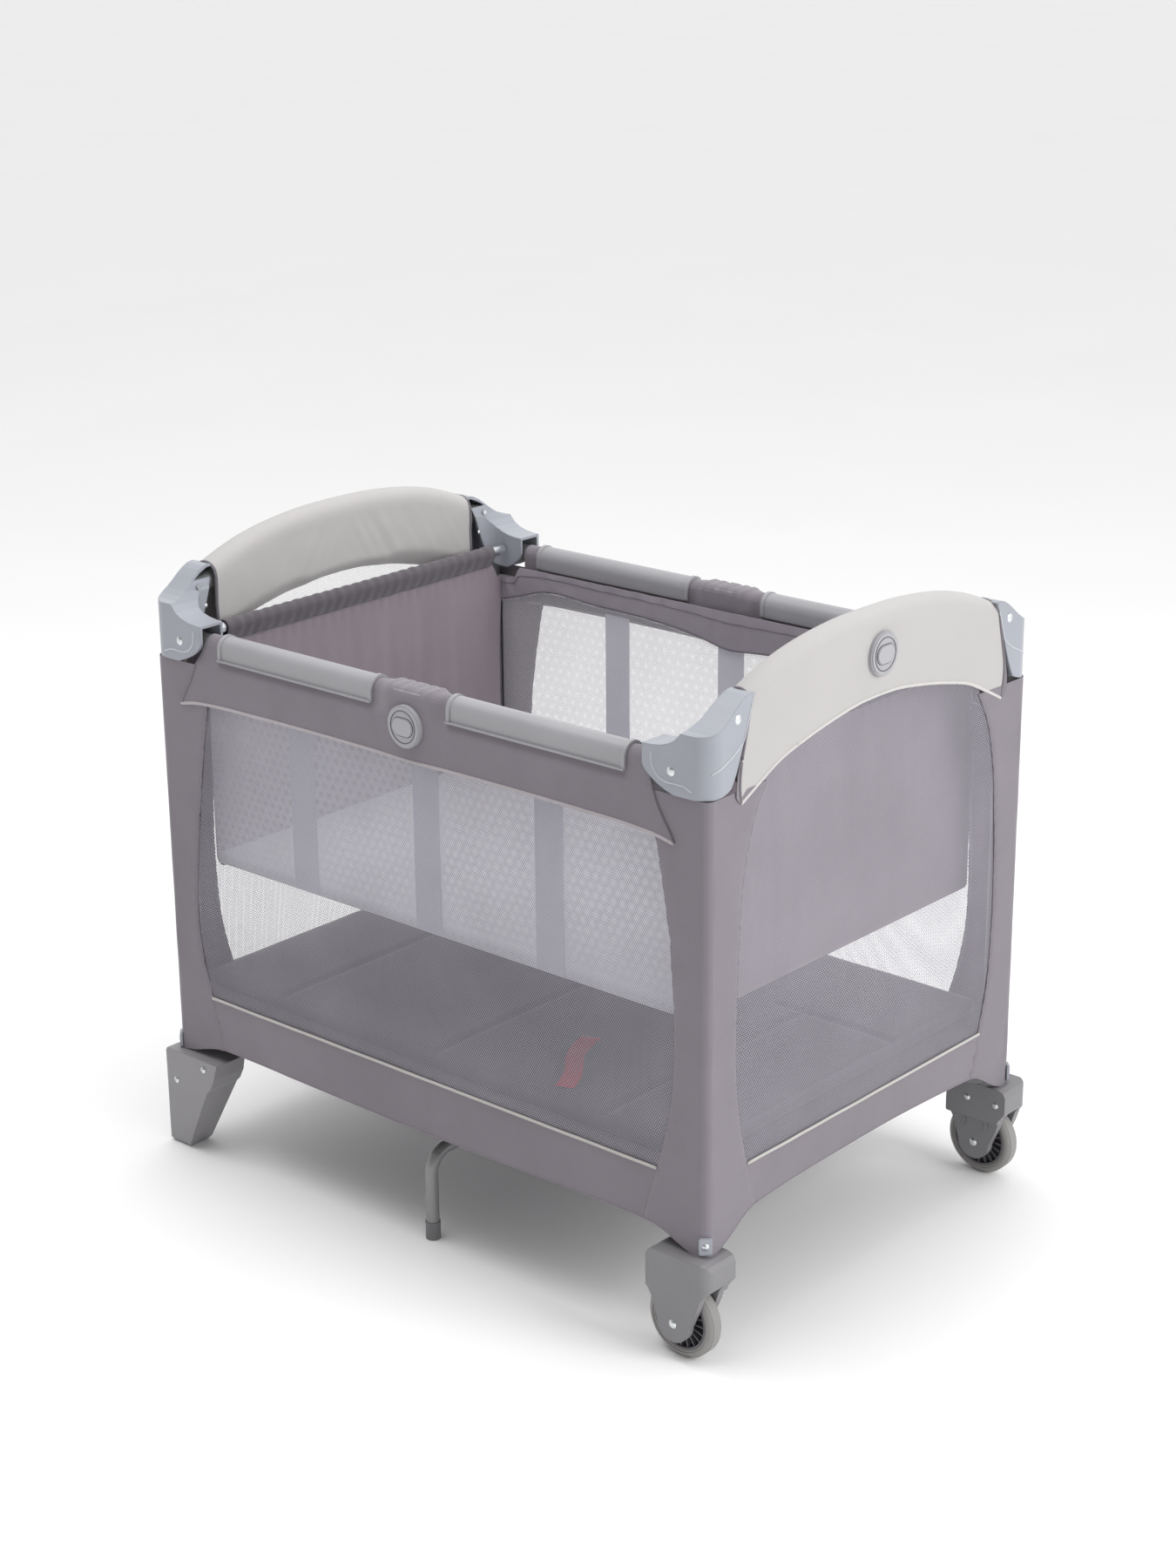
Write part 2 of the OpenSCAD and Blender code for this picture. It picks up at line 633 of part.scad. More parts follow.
side_wall(1);  // side_back
end_wall(-1);  // end_left
end_wall(1);  // end_right
long_cover(-1);  // cover_front
long_cover(1);  // cover_back
arch_cover(-1);  // cover_left
arch_cover(1);  // cover_right
floor_pad();
bassinet_clips();
bassinet_bars();
bassinet_tub();
bassinet_pad();
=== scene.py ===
import math

import bpy
import numpy as np
from mathutils import Matrix, Vector, noise
from mathutils.bvhtree import BVHTree


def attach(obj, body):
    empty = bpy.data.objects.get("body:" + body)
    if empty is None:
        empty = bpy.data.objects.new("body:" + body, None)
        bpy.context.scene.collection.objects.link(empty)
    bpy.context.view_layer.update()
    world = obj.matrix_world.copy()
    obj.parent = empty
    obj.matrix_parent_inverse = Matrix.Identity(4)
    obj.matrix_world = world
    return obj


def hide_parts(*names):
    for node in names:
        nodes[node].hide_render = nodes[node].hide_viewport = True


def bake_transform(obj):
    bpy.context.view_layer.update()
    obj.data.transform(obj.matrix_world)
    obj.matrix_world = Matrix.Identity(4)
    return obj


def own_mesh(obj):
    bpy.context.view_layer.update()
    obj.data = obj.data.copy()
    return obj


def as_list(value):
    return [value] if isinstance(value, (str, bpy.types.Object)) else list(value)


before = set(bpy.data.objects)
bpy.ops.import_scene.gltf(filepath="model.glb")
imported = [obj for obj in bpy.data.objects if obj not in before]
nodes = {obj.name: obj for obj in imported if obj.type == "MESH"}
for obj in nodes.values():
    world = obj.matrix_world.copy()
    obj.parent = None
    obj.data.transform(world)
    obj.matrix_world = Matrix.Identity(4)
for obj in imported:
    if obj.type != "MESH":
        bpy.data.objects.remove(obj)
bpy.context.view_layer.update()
scene = bpy.context.scene
MM = 0.001

# ---------------------------------------------------------------- dimensions, in mm
WALL_Y = 340.0          # outer fabric on the long sides
WALL_X = 491.5          # outer fabric on the ends
CORNER_R = 14.0         # radius of the fabric round a leg
SKIRT_TOP = 247.0
SLEEVE_TOP = 743.5      # upper edge of the corner sleeves, under the caps
MESH_LOW = 243.0        # lower edge of the wall mesh, behind the skirt
RAIL_Y, RAIL_Z = 322.0, 773.0
ARCH_X = 474.0
BAR_X, BAR_Z = 427.0, 779.0
BUTTON_Z, ARCH_BUTTON_Z = 740.0, 851.0          # middle of a long and of an arch latch
LATCH_FACE_Y, LATCH_FACE_X = 350.6, 499.6       # outer face of those latches
COVER_SPLIT, COVER_END = 250.0, 441.0           # a rail cover's two pieces, from the middle
ARCH_SPLIT, ARCH_COVER_END = 170.0, 279.0       # the same for an end cover
TUB_X, TUB_Y, TUB_Z = 439.0, 300.5, 432.0
TUB_WALL, TUB_TOP = TUB_Z + 14.0, 740.0         # upright part of the bassinet's walls
TUB_BEND = 12.0                                 # rounding between its walls and floor
BEND_SHARE = 0.06                               # share of a wall's grid in that rounding
SQUASH_X, SQUASH_Y = 412.0, 262.0               # half of the wall cloth between the sleeves


# ---------------------------------------------------------------- small helpers
def table(points):
    """Smooth curve through (position, value) pairs."""
    xs = [p[0] for p in points]
    ys = [p[1] for p in points]
    slopes = np.gradient(ys, xs)

    def value(x):
        if x <= xs[0]:
            return ys[0] + slopes[0] * (x - xs[0])
        if x >= xs[-1]:
            return ys[-1] + slopes[-1] * (x - xs[-1])
        k = int(np.searchsorted(xs, x)) - 1
        k = max(k, 0)
        w = xs[k + 1] - xs[k]
        t = (x - xs[k]) / w
        a, b = ys[k], ys[k + 1]
        c = slopes[k] * w - (b - a)
        d = -slopes[k + 1] * w + (b - a)
        return a + t * (b - a) + t * (1 - t) * (c * (1 - t) + d * t)

    return value


def smooth(a, b, x):
    t = min(max((x - a) / (b - a), 0.0), 1.0)
    return t * t * (3 - 2 * t)


def wob(x, y, z, size, seed=0.0):
    """Soft noise from about -1 to 1; size is in mm."""
    return noise.noise(Vector((x / size + seed, y / size - seed, z / size + 2 * seed)))


def make(name, verts, faces, material, uvs=None, smooth_faces=True):
    """A mesh object from points in mm; uvs are in mm, one for each vertex."""
    mesh = bpy.data.meshes.new(name)
    mesh.from_pydata([Vector(v) * MM for v in verts], [], faces)
    if uvs is not None:
        layer = mesh.uv_layers.new(name="cloth")
        for loop in mesh.loops:
            layer.data[loop.index].uv = Vector(uvs[loop.vertex_index]) * MM
    mesh.polygons.foreach_set("use_smooth", [smooth_faces] * len(mesh.polygons))
    mesh.materials.append(material)
    obj = bpy.data.objects.new(name, mesh)
    scene.collection.objects.link(obj)
    return obj


def grid(name, point, nu, nv, material, uv=None, thick=0.0, closed=False):
    """A grid of quads: point(u, v) gives mm for u, v from 0 to 1. closed joins u = 1 to u = 0."""
    cols = nu if closed else nu + 1
    pts = [[Vector(point(i / nu, j / nv)) for i in range(cols)] for j in range(nv + 1)]
    verts = [p for row in pts for p in row]
    faces = []
    for j in range(nv):
        for i in range(nu):
            a, b = j * cols + i, j * cols + (i + 1) % cols
            faces.append((a, b, b + cols, a + cols))
    if uv is None:
        across = [0.0]
        for i in range(1, cols):
            across.append(across[-1] + (pts[nv // 2][i] - pts[nv // 2][i - 1]).length)
        along = [0.0]
        for j in range(1, nv + 1):
            along.append(along[-1] + (pts[j][cols // 2] - pts[j - 1][cols // 2]).length)
        uvs = [(across[i], along[j]) for j in range(nv + 1) for i in range(cols)]
    else:
        uvs = [uv(p) for p in verts]
    obj = make(name, verts, faces, material, uvs)
    if thick:
        # the free edges stay crisp once the cloth has its thickness
        mesh = obj.data
        edge_of = np.empty(len(mesh.loops), dtype=np.int32)
        mesh.loops.foreach_get("edge_index", edge_of)
        for k in np.flatnonzero(np.bincount(edge_of, minlength=len(mesh.edges)) == 1):
            mesh.edges[int(k)].use_edge_sharp = True
        mod = obj.modifiers.new("thickness", "SOLIDIFY")
        mod.thickness = thick * MM
        mod.offset = 0.0
    return obj


def rope(name, points, radius, material, sides=8, flat=1.0):
    """A round (or flattened) cord of cloth swept along points in mm, with closed ends."""
    pts = [Vector(p) for p in points]
    verts, faces, uvs = [], [], []
    length = 0.0
    up = Vector((0, 0, 1))
    for k, p in enumerate(pts):
        t = (pts[min(k + 1, len(pts) - 1)] - pts[max(k - 1, 0)]).normalized()
        side = t.cross(up)
        if side.length < 0.2:
            side = t.cross(Vector((0, 1, 0)) if abs(t.y) < 0.9 else Vector((1, 0, 0)))
        side.normalize()
        rise = side.cross(t).normalized()
        if k:
            length += (p - pts[k - 1]).length
        for s in range(sides):
            a = 2 * math.pi * s / sides
            verts.append(p + side * math.cos(a) * radius * flat + rise * math.sin(a) * radius)
            uvs.append((radius * a, length))
    for k in range(len(pts) - 1):
        for s in range(sides):
            a, b = k * sides + s, k * sides + (s + 1) % sides
            faces.append((a, b, b + sides, a + sides))
    faces.append(tuple(reversed(range(sides))))
    faces.append(tuple(range(len(verts) - sides, len(verts))))
    return make(name, verts, faces, material, uvs)


def area_of(obj):
    mesh = obj.data
    return sum(p.area for p in mesh.polygons)


def cloth(obj):
    """Works out the flat size of a sheet's own unrolled grid; nothing is kept, and the sheet is returned as
    it is.
    """
    layer = obj.data.uv_layers["cloth"].data
    us = [d.uv.x for d in layer]
    vs = [d.uv.y for d in layer]
    width, length = max(us) - min(us), max(vs) - min(vs)
    share = min(area_of(obj), width * length)
    share = max(share, 0.31 * width * length)
    return obj


def on(obj, body):
    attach(obj, body)
    return obj


# ---------------------------------------------------------------- materials
class Tree:
    """Short way to build a node material, or to add nodes to the world that is given."""

    def __init__(self, name, world=None):
        self.mat = world or bpy.data.materials.new(name)
        self.mat.use_nodes = True
        self.nt = self.mat.node_tree
        self.bsdf = self.nt.nodes.get("Principled BSDF")

    def node(self, kind, **values):
        n = self.nt.nodes.new(kind)
        for key, value in values.items():
            setattr(n, key, value)
        return n

    def link(self, a, b):
        self.nt.links.new(a, b)

    def math(self, op, a, b=None, c=None):
        n = self.node("ShaderNodeMath", operation=op)
        for k, x in enumerate((a, b, c)):
            if x is None:
                continue
            if isinstance(x, (int, float)):
                n.inputs[k].default_value = x
            else:
                self.link(x, n.inputs[k])
        return n.outputs[0]

    def spread(self, value, low, high):
        """From 0 to 1 while value goes from low to high."""
        n = self.node("ShaderNodeMapRange")
        n.inputs["From Min"].default_value = low
        n.inputs["From Max"].default_value = high
        self.link(value, n.inputs["Value"])
        return n.outputs["Result"]

    def coords(self, scale, space="Object"):
        tex = self.node("ShaderNodeTexCoord")
        n = self.node("ShaderNodeMapping")
        n.inputs["Scale"].default_value = scale if isinstance(scale, tuple) else (scale,) * 3
        self.link(tex.outputs[space], n.inputs["Vector"])
        return n.outputs[0]

    def noise(self, size_mm, detail=3.0, rough=0.5, stretch=(1, 1, 1), space="Object"):
        k = 1000.0 / size_mm
        n = self.node("ShaderNodeTexNoise")
        n.inputs["Scale"].default_value = 1.0
        n.inputs["Detail"].default_value = detail
        n.inputs["Roughness"].default_value = rough
        self.link(self.coords(tuple(k * s for s in stretch), space), n.inputs["Vector"])
        return n.outputs["Fac"]

    def ramp(self, fac, low, high, a=0.3, b=0.7):
        n = self.node("ShaderNodeValToRGB")
        n.color_ramp.elements[0].position = a
        n.color_ramp.elements[1].position = b
        n.color_ramp.elements[0].color = (*low, 1)
        n.color_ramp.elements[1].color = (*high, 1)
        self.link(fac, n.inputs["Fac"])
        return n.outputs["Color"]

    def bump(self, height, strength, distance_mm, before=None):
        n = self.node("ShaderNodeBump")
        n.inputs["Strength"].default_value = strength
        n.inputs["Distance"].default_value = distance_mm * MM
        self.link(height, n.inputs["Height"])
        if before is not None:
            self.link(before, n.inputs["Normal"])
        return n.outputs["Normal"]

    def threads(self, pitch_mm):
        """Woven threads, from the flat cloth coordinates."""
        tex = self.node("ShaderNodeTexCoord")
        sep = self.node("ShaderNodeSeparateXYZ")
        self.link(tex.outputs["UV"], sep.inputs[0])
        k = 2 * math.pi * 1000.0 / pitch_mm
        a = self.math("SINE", self.math("MULTIPLY", sep.outputs[0], k))
        b = self.math("SINE", self.math("MULTIPLY", sep.outputs[1], k))
        return self.math("MULTIPLY_ADD", self.math("MULTIPLY", a, b), 0.5, 0.5)


def tint(color, k):
    return tuple(min(c * k, 1.0) for c in color)


def fabric(name, color, weave=1.1, vary=0.10, wrinkle=0.35, size=55.0, sheen=0.25, stretch=(1, 1, 1)):
    t = Tree(name)
    big = t.noise(180.0, 3.0, 0.6)
    fine = t.noise(2.2, 2.0, 0.7)
    mix = t.math("MULTIPLY_ADD", fine, 0.35, t.math("MULTIPLY", big, 0.65))
    t.link(t.ramp(mix, tint(color, 1 - vary), tint(color, 1 + vary)), t.bsdf.inputs["Base Color"])
    folds = t.bump(t.noise(size, 2.5, 0.45, stretch), wrinkle, 4.0)
    weave_normal = t.bump(t.threads(weave), 0.25, 0.25, folds)
    t.link(weave_normal, t.bsdf.inputs["Normal"])
    rough = t.ramp(fine, (0.74,) * 3, (0.9,) * 3)
    t.link(rough, t.bsdf.inputs["Roughness"])
    t.bsdf.inputs["Sheen Weight"].default_value = sheen
    t.bsdf.inputs["Sheen Roughness"].default_value = 0.5
    t.bsdf.inputs["Specular IOR Level"].default_value = 0.25
    return t.mat


def net(name, color, pitch=2.6, hole=0.95):
    """See-through knitted mesh: round holes on a triangular lattice."""
    t = Tree(name)
    tex = t.node("ShaderNodeTexCoord")
    px, py = pitch * MM, pitch * math.sqrt(3.0) * MM
    nearest = None
    for shift in (0.0, 0.5):
        scaled = t.node("ShaderNodeVectorMath", operation="MULTIPLY_ADD")
        t.link(tex.outputs["UV"], scaled.inputs[0])
        scaled.inputs[1].default_value = (1 / px, 1 / py, 0)
        scaled.inputs[2].default_value = (shift, shift, 0)
        part = t.node("ShaderNodeVectorMath", operation="FRACTION")
        t.link(scaled.outputs[0], part.inputs[0])
        centred = t.node("ShaderNodeVectorMath", operation="SUBTRACT")
        t.link(part.outputs[0], centred.inputs[0])
        centred.inputs[1].default_value = (0.5, 0.5, 0.0)
        sized = t.node("ShaderNodeVectorMath", operation="MULTIPLY")
        t.link(centred.outputs[0], sized.inputs[0])
        sized.inputs[1].default_value = (pitch, pitch * math.sqrt(3.0), 0)
        length = t.node("ShaderNodeVectorMath", operation="LENGTH")
        t.link(sized.outputs[0], length.inputs[0])
        d = length.outputs["Value"]
        nearest = d if nearest is None else t.math("MINIMUM", nearest, d)
    solid = t.math("GREATER_THAN", nearest, hole)
    t.link(solid, t.bsdf.inputs["Alpha"])
    big = t.noise(140.0, 3.0, 0.6)
    t.link(t.ramp(big, tint(color, 0.92), tint(color, 1.08)), t.bsdf.inputs["Base Color"])
    t.bsdf.inputs["Roughness"].default_value = 0.7
    t.bsdf.inputs["Sheen Weight"].default_value = 0.2
    t.bsdf.inputs["Specular IOR Level"].default_value = 0.3
    return t.mat


def plastic(name, color, rough=0.42, grain=0.9, grain_bump=0.06, edge=1.2, vary=0.04, coat=0.0):
    t = Tree(name)
    fine = t.noise(grain, 2.0, 0.6)
    big = t.noise(90.0, 3.0, 0.5)
    t.link(t.ramp(big, tint(color, 1 - vary), tint(color, 1 + vary)), t.bsdf.inputs["Base Color"])
    t.link(t.ramp(big, (rough - 0.05,) * 3, (rough + 0.07,) * 3), t.bsdf.inputs["Roughness"])
    if edge:
        bevel = t.node("ShaderNodeBevel", samples=4)
        bevel.inputs["Radius"].default_value = edge * MM
        t.link(t.bump(fine, grain_bump, 0.3, bevel.outputs[0]), t.bsdf.inputs["Normal"])
    else:
        t.link(t.bump(fine, grain_bump, 0.3), t.bsdf.inputs["Normal"])
    t.bsdf.inputs["Coat Weight"].default_value = coat
    t.bsdf.inputs["Coat Roughness"].default_value = 0.25
    return t.mat


def metal(name, color, rough=0.35, metallic=1.0, grain=1.5, grain_bump=0.15):
    t = Tree(name)
    fine = t.noise(grain, 3.0, 0.6)
    t.link(t.ramp(fine, tint(color, 0.88), tint(color, 1.1)), t.bsdf.inputs["Base Color"])
    t.link(t.ramp(fine, (rough - 0.08,) * 3, (rough + 0.1,) * 3), t.bsdf.inputs["Roughness"])
    t.link(t.bump(fine, grain_bump, 0.4), t.bsdf.inputs["Normal"])
    t.bsdf.inputs["Metallic"].default_value = metallic
    return t.mat


GREY = (0.205, 0.184, 0.210)
MAUVE = (0.250, 0.210, 0.238)
M = {
    "grey": fabric("grey_fabric", GREY, wrinkle=0.6),
    "grey_taut": fabric("grey_taut_fabric", GREY, wrinkle=0.34),
    "band": fabric("gathered_fabric", tint(GREY, 1.5), wrinkle=0.6, size=30, stretch=(1, 1, 0.35)),
    "bar_sleeve": fabric("bar_sleeve_fabric", tint(GREY, 0.48), wrinkle=0.5, size=30, stretch=(1, 1, 0.35)),
    "mauve": fabric("end_panel_fabric", MAUVE, wrinkle=0.3, size=60, stretch=(1, 1, 0.3)),
    "cream": fabric("cream_fabric", (0.45, 0.438, 0.432), vary=0.03, wrinkle=0.12, sheen=0.15),
    "white_piping": fabric("white_piping", (0.56, 0.545, 0.53), vary=0.03, wrinkle=0.1),
    "cream_piping": fabric("cream_piping", (0.50, 0.485, 0.46), vary=0.05, wrinkle=0.1),
    "piping": fabric("grey_piping", (0.42, 0.385, 0.405), wrinkle=0.1),
    "binding": fabric("grey_binding", tint(GREY, 0.8), wrinkle=0.15),
    "thread": fabric("sewing_thread", tint(GREY, 0.45), wrinkle=0.0),
    "floor": fabric("floor_pad_fabric", tint(GREY, 0.66), wrinkle=0.25, size=90),
    "quilt": fabric("bassinet_pad_fabric", (0.62, 0.62, 0.64), vary=0.04, wrinkle=0.25),
    "webbing": fabric("grey_webbing", (0.62, 0.625, 0.70), weave=2.0, wrinkle=0.05),
    "red": fabric("red_webbing", (0.62, 0.045, 0.08), weave=2.4, wrinkle=0.05),
    # The mesh on the far walls and on the bassinet's back wall is a lighter copy of its near twin, with
    # bigger holes: painted light where the bright background shines through it.
    "net_near": net("wall_mesh", (0.36, 0.345, 0.39), pitch=3.1, hole=1.2),
    "net_far_painted_lighter": net("far_wall_mesh_painted_lighter", (0.40, 0.385, 0.43), pitch=3.1, hole=1.43),
    "tub_net_front": net("bassinet_front_mesh", (0.80, 0.79, 0.85), pitch=2.6, hole=0.76),
    "tub_net_back": net("bassinet_back_mesh_painted_lighter", (0.84, 0.83, 0.86), pitch=2.6, hole=1.08),
    "cap": plastic("cap_plastic", (0.315, 0.33, 0.37), rough=0.33, edge=2.2, coat=0.1),
    # the cap lines are a lighter copy of the cap plastic: a painted highlight along the caps' rims
    "cap_line": plastic("cap_rim_painted_highlight", (0.50, 0.515, 0.56), rough=0.33, edge=0.0),
    "foot": plastic("foot_plastic", (0.27, 0.262, 0.272), rough=0.5, edge=1.6),
    "fork": plastic("fork_plastic", (0.215, 0.21, 0.22), rough=0.5, edge=1.6),
    # a darker copy of the latch plastic: painted shade in the latch grooves
    "latch_line": plastic("latch_groove_painted_shade", (0.12, 0.118, 0.13), rough=0.5, edge=0.0),
    "light_thread": fabric("light_sewing_thread", (0.62, 0.60, 0.64), wrinkle=0.0),
    "clip": plastic("clip_plastic", (0.325, 0.322, 0.34), rough=0.36, edge=0.6),
    "latch": plastic("latch_plastic", (0.365, 0.36, 0.385), rough=0.4, edge=0.9),
    "button": plastic("button_plastic", (0.37, 0.365, 0.39), rough=0.32, edge=0.6, coat=0.1),
    "hub": plastic("hub_plastic", (0.10, 0.10, 0.11), rough=0.5, edge=1.0),
    "rim": plastic("rim_plastic", (0.115, 0.11, 0.12), rough=0.5, edge=0.4),
    "tyre": plastic("tyre_rubber", (0.265, 0.256, 0.248), rough=0.55, grain=1.4, grain_bump=0.1, edge=0.0),
    "tip": plastic("tip_rubber", (0.16, 0.16, 0.165), rough=0.6, edge=0.5),
    "paint": metal("powder_coat", (0.265, 0.265, 0.27), rough=0.36, metallic=0.35, grain=2.2,
                   grain_bump=0.35),
    "zinc": metal("zinc", (0.70, 0.72, 0.74), rough=0.28, grain=0.8, grain_bump=0.05),
}

NODE_MATERIALS = (
    ("leg_tube", "paint"), ("corner_cap", "cap"), ("foot", "foot"), ("fork", "fork"),
    ("fasteners", "zinc"), ("tyre", "tyre"), ("wheel_core", "rim"), ("strut", "paint"), ("hub", "hub"),
    ("centre_leg", "paint"), ("centre_tip", "tip"), ("rail_", "paint"), ("arch_", "paint"),
    ("latch", "latch"), ("button", "button"), ("bassinet_clips", "clip"), ("bassinet_bars", "zinc"),
)
for name, obj in nodes.items():
    for start, key in NODE_MATERIALS:
        if name.startswith(start):
            obj.data.materials.clear()
            obj.data.materials.append(M[key])

# The fabric tab at the foot of a corner is grey plastic and its screw stays zinc, in metres.
TAB_LOW, TAB_HIGH = 0.145, 0.18
SCREW, SCREW_Z, SCREW_R = Vector((0.4911, 0.3391)), 0.1625, 0.0052
outward = Vector((1, 1)).normalized()
for name, obj in nodes.items():
    if name.startswith("fasteners"):
        obj.data.materials.append(M["cap"])
        for face in obj.data.polygons:
            c = obj.matrix_world @ face.center
            beside = Vector((abs(c.x), abs(c.y))) - SCREW
            off_screw = beside.length > SCREW_R or abs(c.z - SCREW_Z) > SCREW_R or beside.dot(outward) < 0.0
            if TAB_LOW < c.z < TAB_HIGH and off_screw:
                face.material_index = 1


# ---------------------------------------------------------------- outlines shared by the walls
front_window = table([(150, 386), (165, 389), (247, 412), (300, 427), (350, 436), (400, 440), (450, 440),
                      (550, 434), (675, 413), (745, 398)])
end_window = table([(165, 222), (180, 234), (247, 257), (317, 274), (400, 281), (470, 281), (560, 276),
                    (643, 267), (700, 251), (762, 215), (800, 190)])
cover_low = table([(0, 798), (45, 796), (88, 790), (150, 778), (205, 763), (245, 744), (276, 728)])
cover_top = table([(0, 907.5), (55, 906.5), (105, 902.5), (150, 896), (190, 887), (230, 874), (264, 860)])
arch_cover_end = table([(727, 277.5), (750, 281), (776, 280), (800, 274), (830, 266), (858, 259),
                        (910, 250)])
flap_low = table([(0, 693), (150, 694), (300, 693), (380, 691), (415, 688), (441, 683)])
# how far the flap reaches along the rail at a height: its ends follow the corner caps
flap_end = table([(683, 441), (700, 431), (725, 416), (748, 406), (757, 401), (764, 396), (772, 391.5),
                  (800, 390.5)])
# lower edge of the bassinet's gathered band
band_low = table([(-434, 700), (-391, 712), (-350, 725), (-230, 724), (-110, 720), (-48, 713), (15, 701),
                  (60, 704), (116, 709), (230, 718), (350, 722), (391, 712), (434, 700)])


def long_window(z, sx, sy):
    """Half width of the mesh on a long side: the sleeves are wider at the back and the foot end."""
    if sy > 0:
        return front_window(z) - 27.0
    return front_window(z) - (20.0 * smooth(280, 600, z) if sx < 0 else 0.0)


def short_window(z, sx):
    """Half width of the mesh on an end: the sleeves are wider at the foot end."""
    return end_window(z) - (26.0 * smooth(800, 700, z) if sx < 0 else 0.0)


def corner_hem(foot_end):
    """Lowest point of the cloth, at a leg."""
    return 151.0 if foot_end else 146.0


def hem_long(x, foot_end):
    """Lowest edge of the cloth on a long side."""
    x = abs(x)
    z = 167.0 + 4.0 * smooth(0, 380, x)
    return z + (corner_hem(foot_end) - z) * smooth(392 if foot_end else 398, 486, x)


def hem_end(y, foot_end):
    """Lowest edge of the cloth on an end."""
    y = abs(y)
    z = 193.0 - 9.0 * (y / 262.0) ** 2
    return z + (corner_hem(foot_end) - z) * smooth(240, 330, y)


CORNERS = {"fl": (-1, -1), "bl": (-1, 1), "fr": (1, -1), "br": (1, 1)}


def stitches(name, points, material, body, lift, pitch=4.0, radius=0.35):
    """A line of short sewn threads lying on the cloth; lift is the outward direction."""
    pts = [Vector(p) for p in points]
    verts, faces = [], []
    travelled = 0.0
    for a, b in zip(pts, pts[1:]):
        d = b - a
        length = d.length
        if length < 1e-6:
            continue
        t = d / length
        side = t.cross(Vector(lift)).normalized() * radius
        up = Vector(lift).normalized() * radius
        s = -travelled % pitch
        while s < length:
            e = min(s + pitch * 0.62, length)
            p, q = a + t * s, a + t * e
            base = len(verts)
            for r in (p, q):
                verts += [r - side, r + side, r + side * 0.6 + up, r - side * 0.6 + up]
            faces += [(base, base + 3, base + 7, base + 4), (base + 3, base + 2, base + 6, base + 7),
                      (base + 2, base + 1, base + 5, base + 6), (base, base + 1, base + 2, base + 3),
                      (base + 4, base + 7, base + 6, base + 5), (base + 1, base, base + 4, base + 5)]
            s += pitch
        travelled += length
    obj = make(name, verts, faces, material, smooth_faces=False)
    return on(obj, body)


# ---------------------------------------------------------------- corner sleeves
def pucker(beyond, z):
    """Small gathers beside a seam."""
    return math.exp(-beyond / 14.0) * math.sin(z / 3.3 + 2 * wob(0, 0, z, 30)) * 0.5


def corner_sleeve(tag):
    sx, sy = CORNERS[tag]
    foot_end = sx < 0
    flat_steps, turn_steps = 12, 6      # on each side of the leg, and round it
    steps = 2 * flat_steps + turn_steps

    def point(u, v):
        s = u * steps
        if s <= flat_steps:
            k = s / flat_steps
            z = 150 + (SLEEVE_TOP - 150) * v
            for _ in range(3):
                xe = long_window(z, sx, sy)
                x = xe + (478 - xe) * k
                zb = hem_long(x, foot_end)
                z = zb + (SLEEVE_TOP - zb) * v
            y = WALL_Y + pucker(x - xe, z) + 0.9 * wob(x, 3 * sy, z, 70, 5 * sx)
            y -= 1.5 * math.exp(-(x - xe) / 3.0)
            y += 1.2 * smooth(743, 700, z) * wob(x, z, 0, 28, sx) * (1 - k)
            return (sx * x, sy * y, z)
        if s < flat_steps + turn_steps:
            a = (s - flat_steps) / turn_steps * math.pi / 2
            zb = corner_hem(foot_end)
            z = zb + (SLEEVE_TOP - zb) * v
            r = CORNER_R + 0.6 * math.sin(a * 2) + 0.4 * wob(0, 0, z, 60, sx + sy)
            x = WALL_X - CORNER_R + r * math.sin(a)
            return (sx * x, sy * (WALL_Y - CORNER_R + r * math.cos(a)), z)
        k = (steps - s) / flat_steps
        z = 150 + (SLEEVE_TOP - 150) * v
        for _ in range(3):
            ye = short_window(z, sx)
            y = ye + (WALL_Y - CORNER_R - ye) * k
            zb = hem_end(y, foot_end)
            z = zb + (SLEEVE_TOP - zb) * v
        x = WALL_X + pucker(y - ye, z) + 0.9 * wob(y, 7 * sx, z, 70, 3 * sy)
        x -= 1.5 * math.exp(-(y - ye) / 3.0)
        return (sx * x, sy * y, z)

    name = "sleeve_" + tag
    body = "leg_" + tag
    obj = grid(name, point, 60, 90, M["grey_taut"], thick=1.0)
    lines = (
        ("seam_long", [point(0.0, j / 120) for j in range(121)], 0.9, "binding"),
        ("seam_end", [point(1.0, j / 120) for j in range(121)], 0.9, "binding"),
        ("hem", [point(i / 60, 0.0) for i in range(61)], 1.3, "grey"),
        ("corner_seam", [point(0.5, j / 60) for j in range(61)], 0.55, "binding"),
    )
    for part, line, radius, key in lines:
        on(rope("%s_%s" % (name, part), line, radius, M[key], 6), body)
    for part, u, lift in (("long", 0.035, (0, sy, 0)), ("end", 0.965, (sx, 0, 0))):
        line = [point(u, 0.01 + 0.98 * j / 60) for j in range(61)]
        stitches(name + "_thread_" + part, line, M["thread"], body, lift)
    on(obj, body)
    cloth(obj)


for tag in CORNERS:
    corner_sleeve(tag)


# ---------------------------------------------------------------- raised lines on the hard parts: painted highlight on the caps, painted shade in the latch grooves
CAP_LINE_LONG = [(407, 792), (407.5, 782), (410, 772), (417, 763.5), (430, 758), (445, 759),
                 (458, 758.5), (470, 753)]
CAP_LINE_END = [(333, 776), (316, 784), (298, 792), (281, 803), (268, 819), (262, 836), (264, 851)]


def soft_path(points, count=40):
    """Evenly sampled curve through points given as pairs."""
    t = np.linspace(0, len(points) - 1, count)
    k = np.arange(len(points))
    a = np.interp(t, k, [p[0] for p in points])
    b = np.interp(t, k, [p[1] for p in points])
    kernel = np.array([1, 2, 3, 2, 1]) / 9.0
    a = np.convolve(np.pad(a, 2, mode="edge"), kernel, mode="valid")
    b = np.convolve(np.pad(b, 2, mode="edge"), kernel, mode="valid")
    return list(zip(a, b))


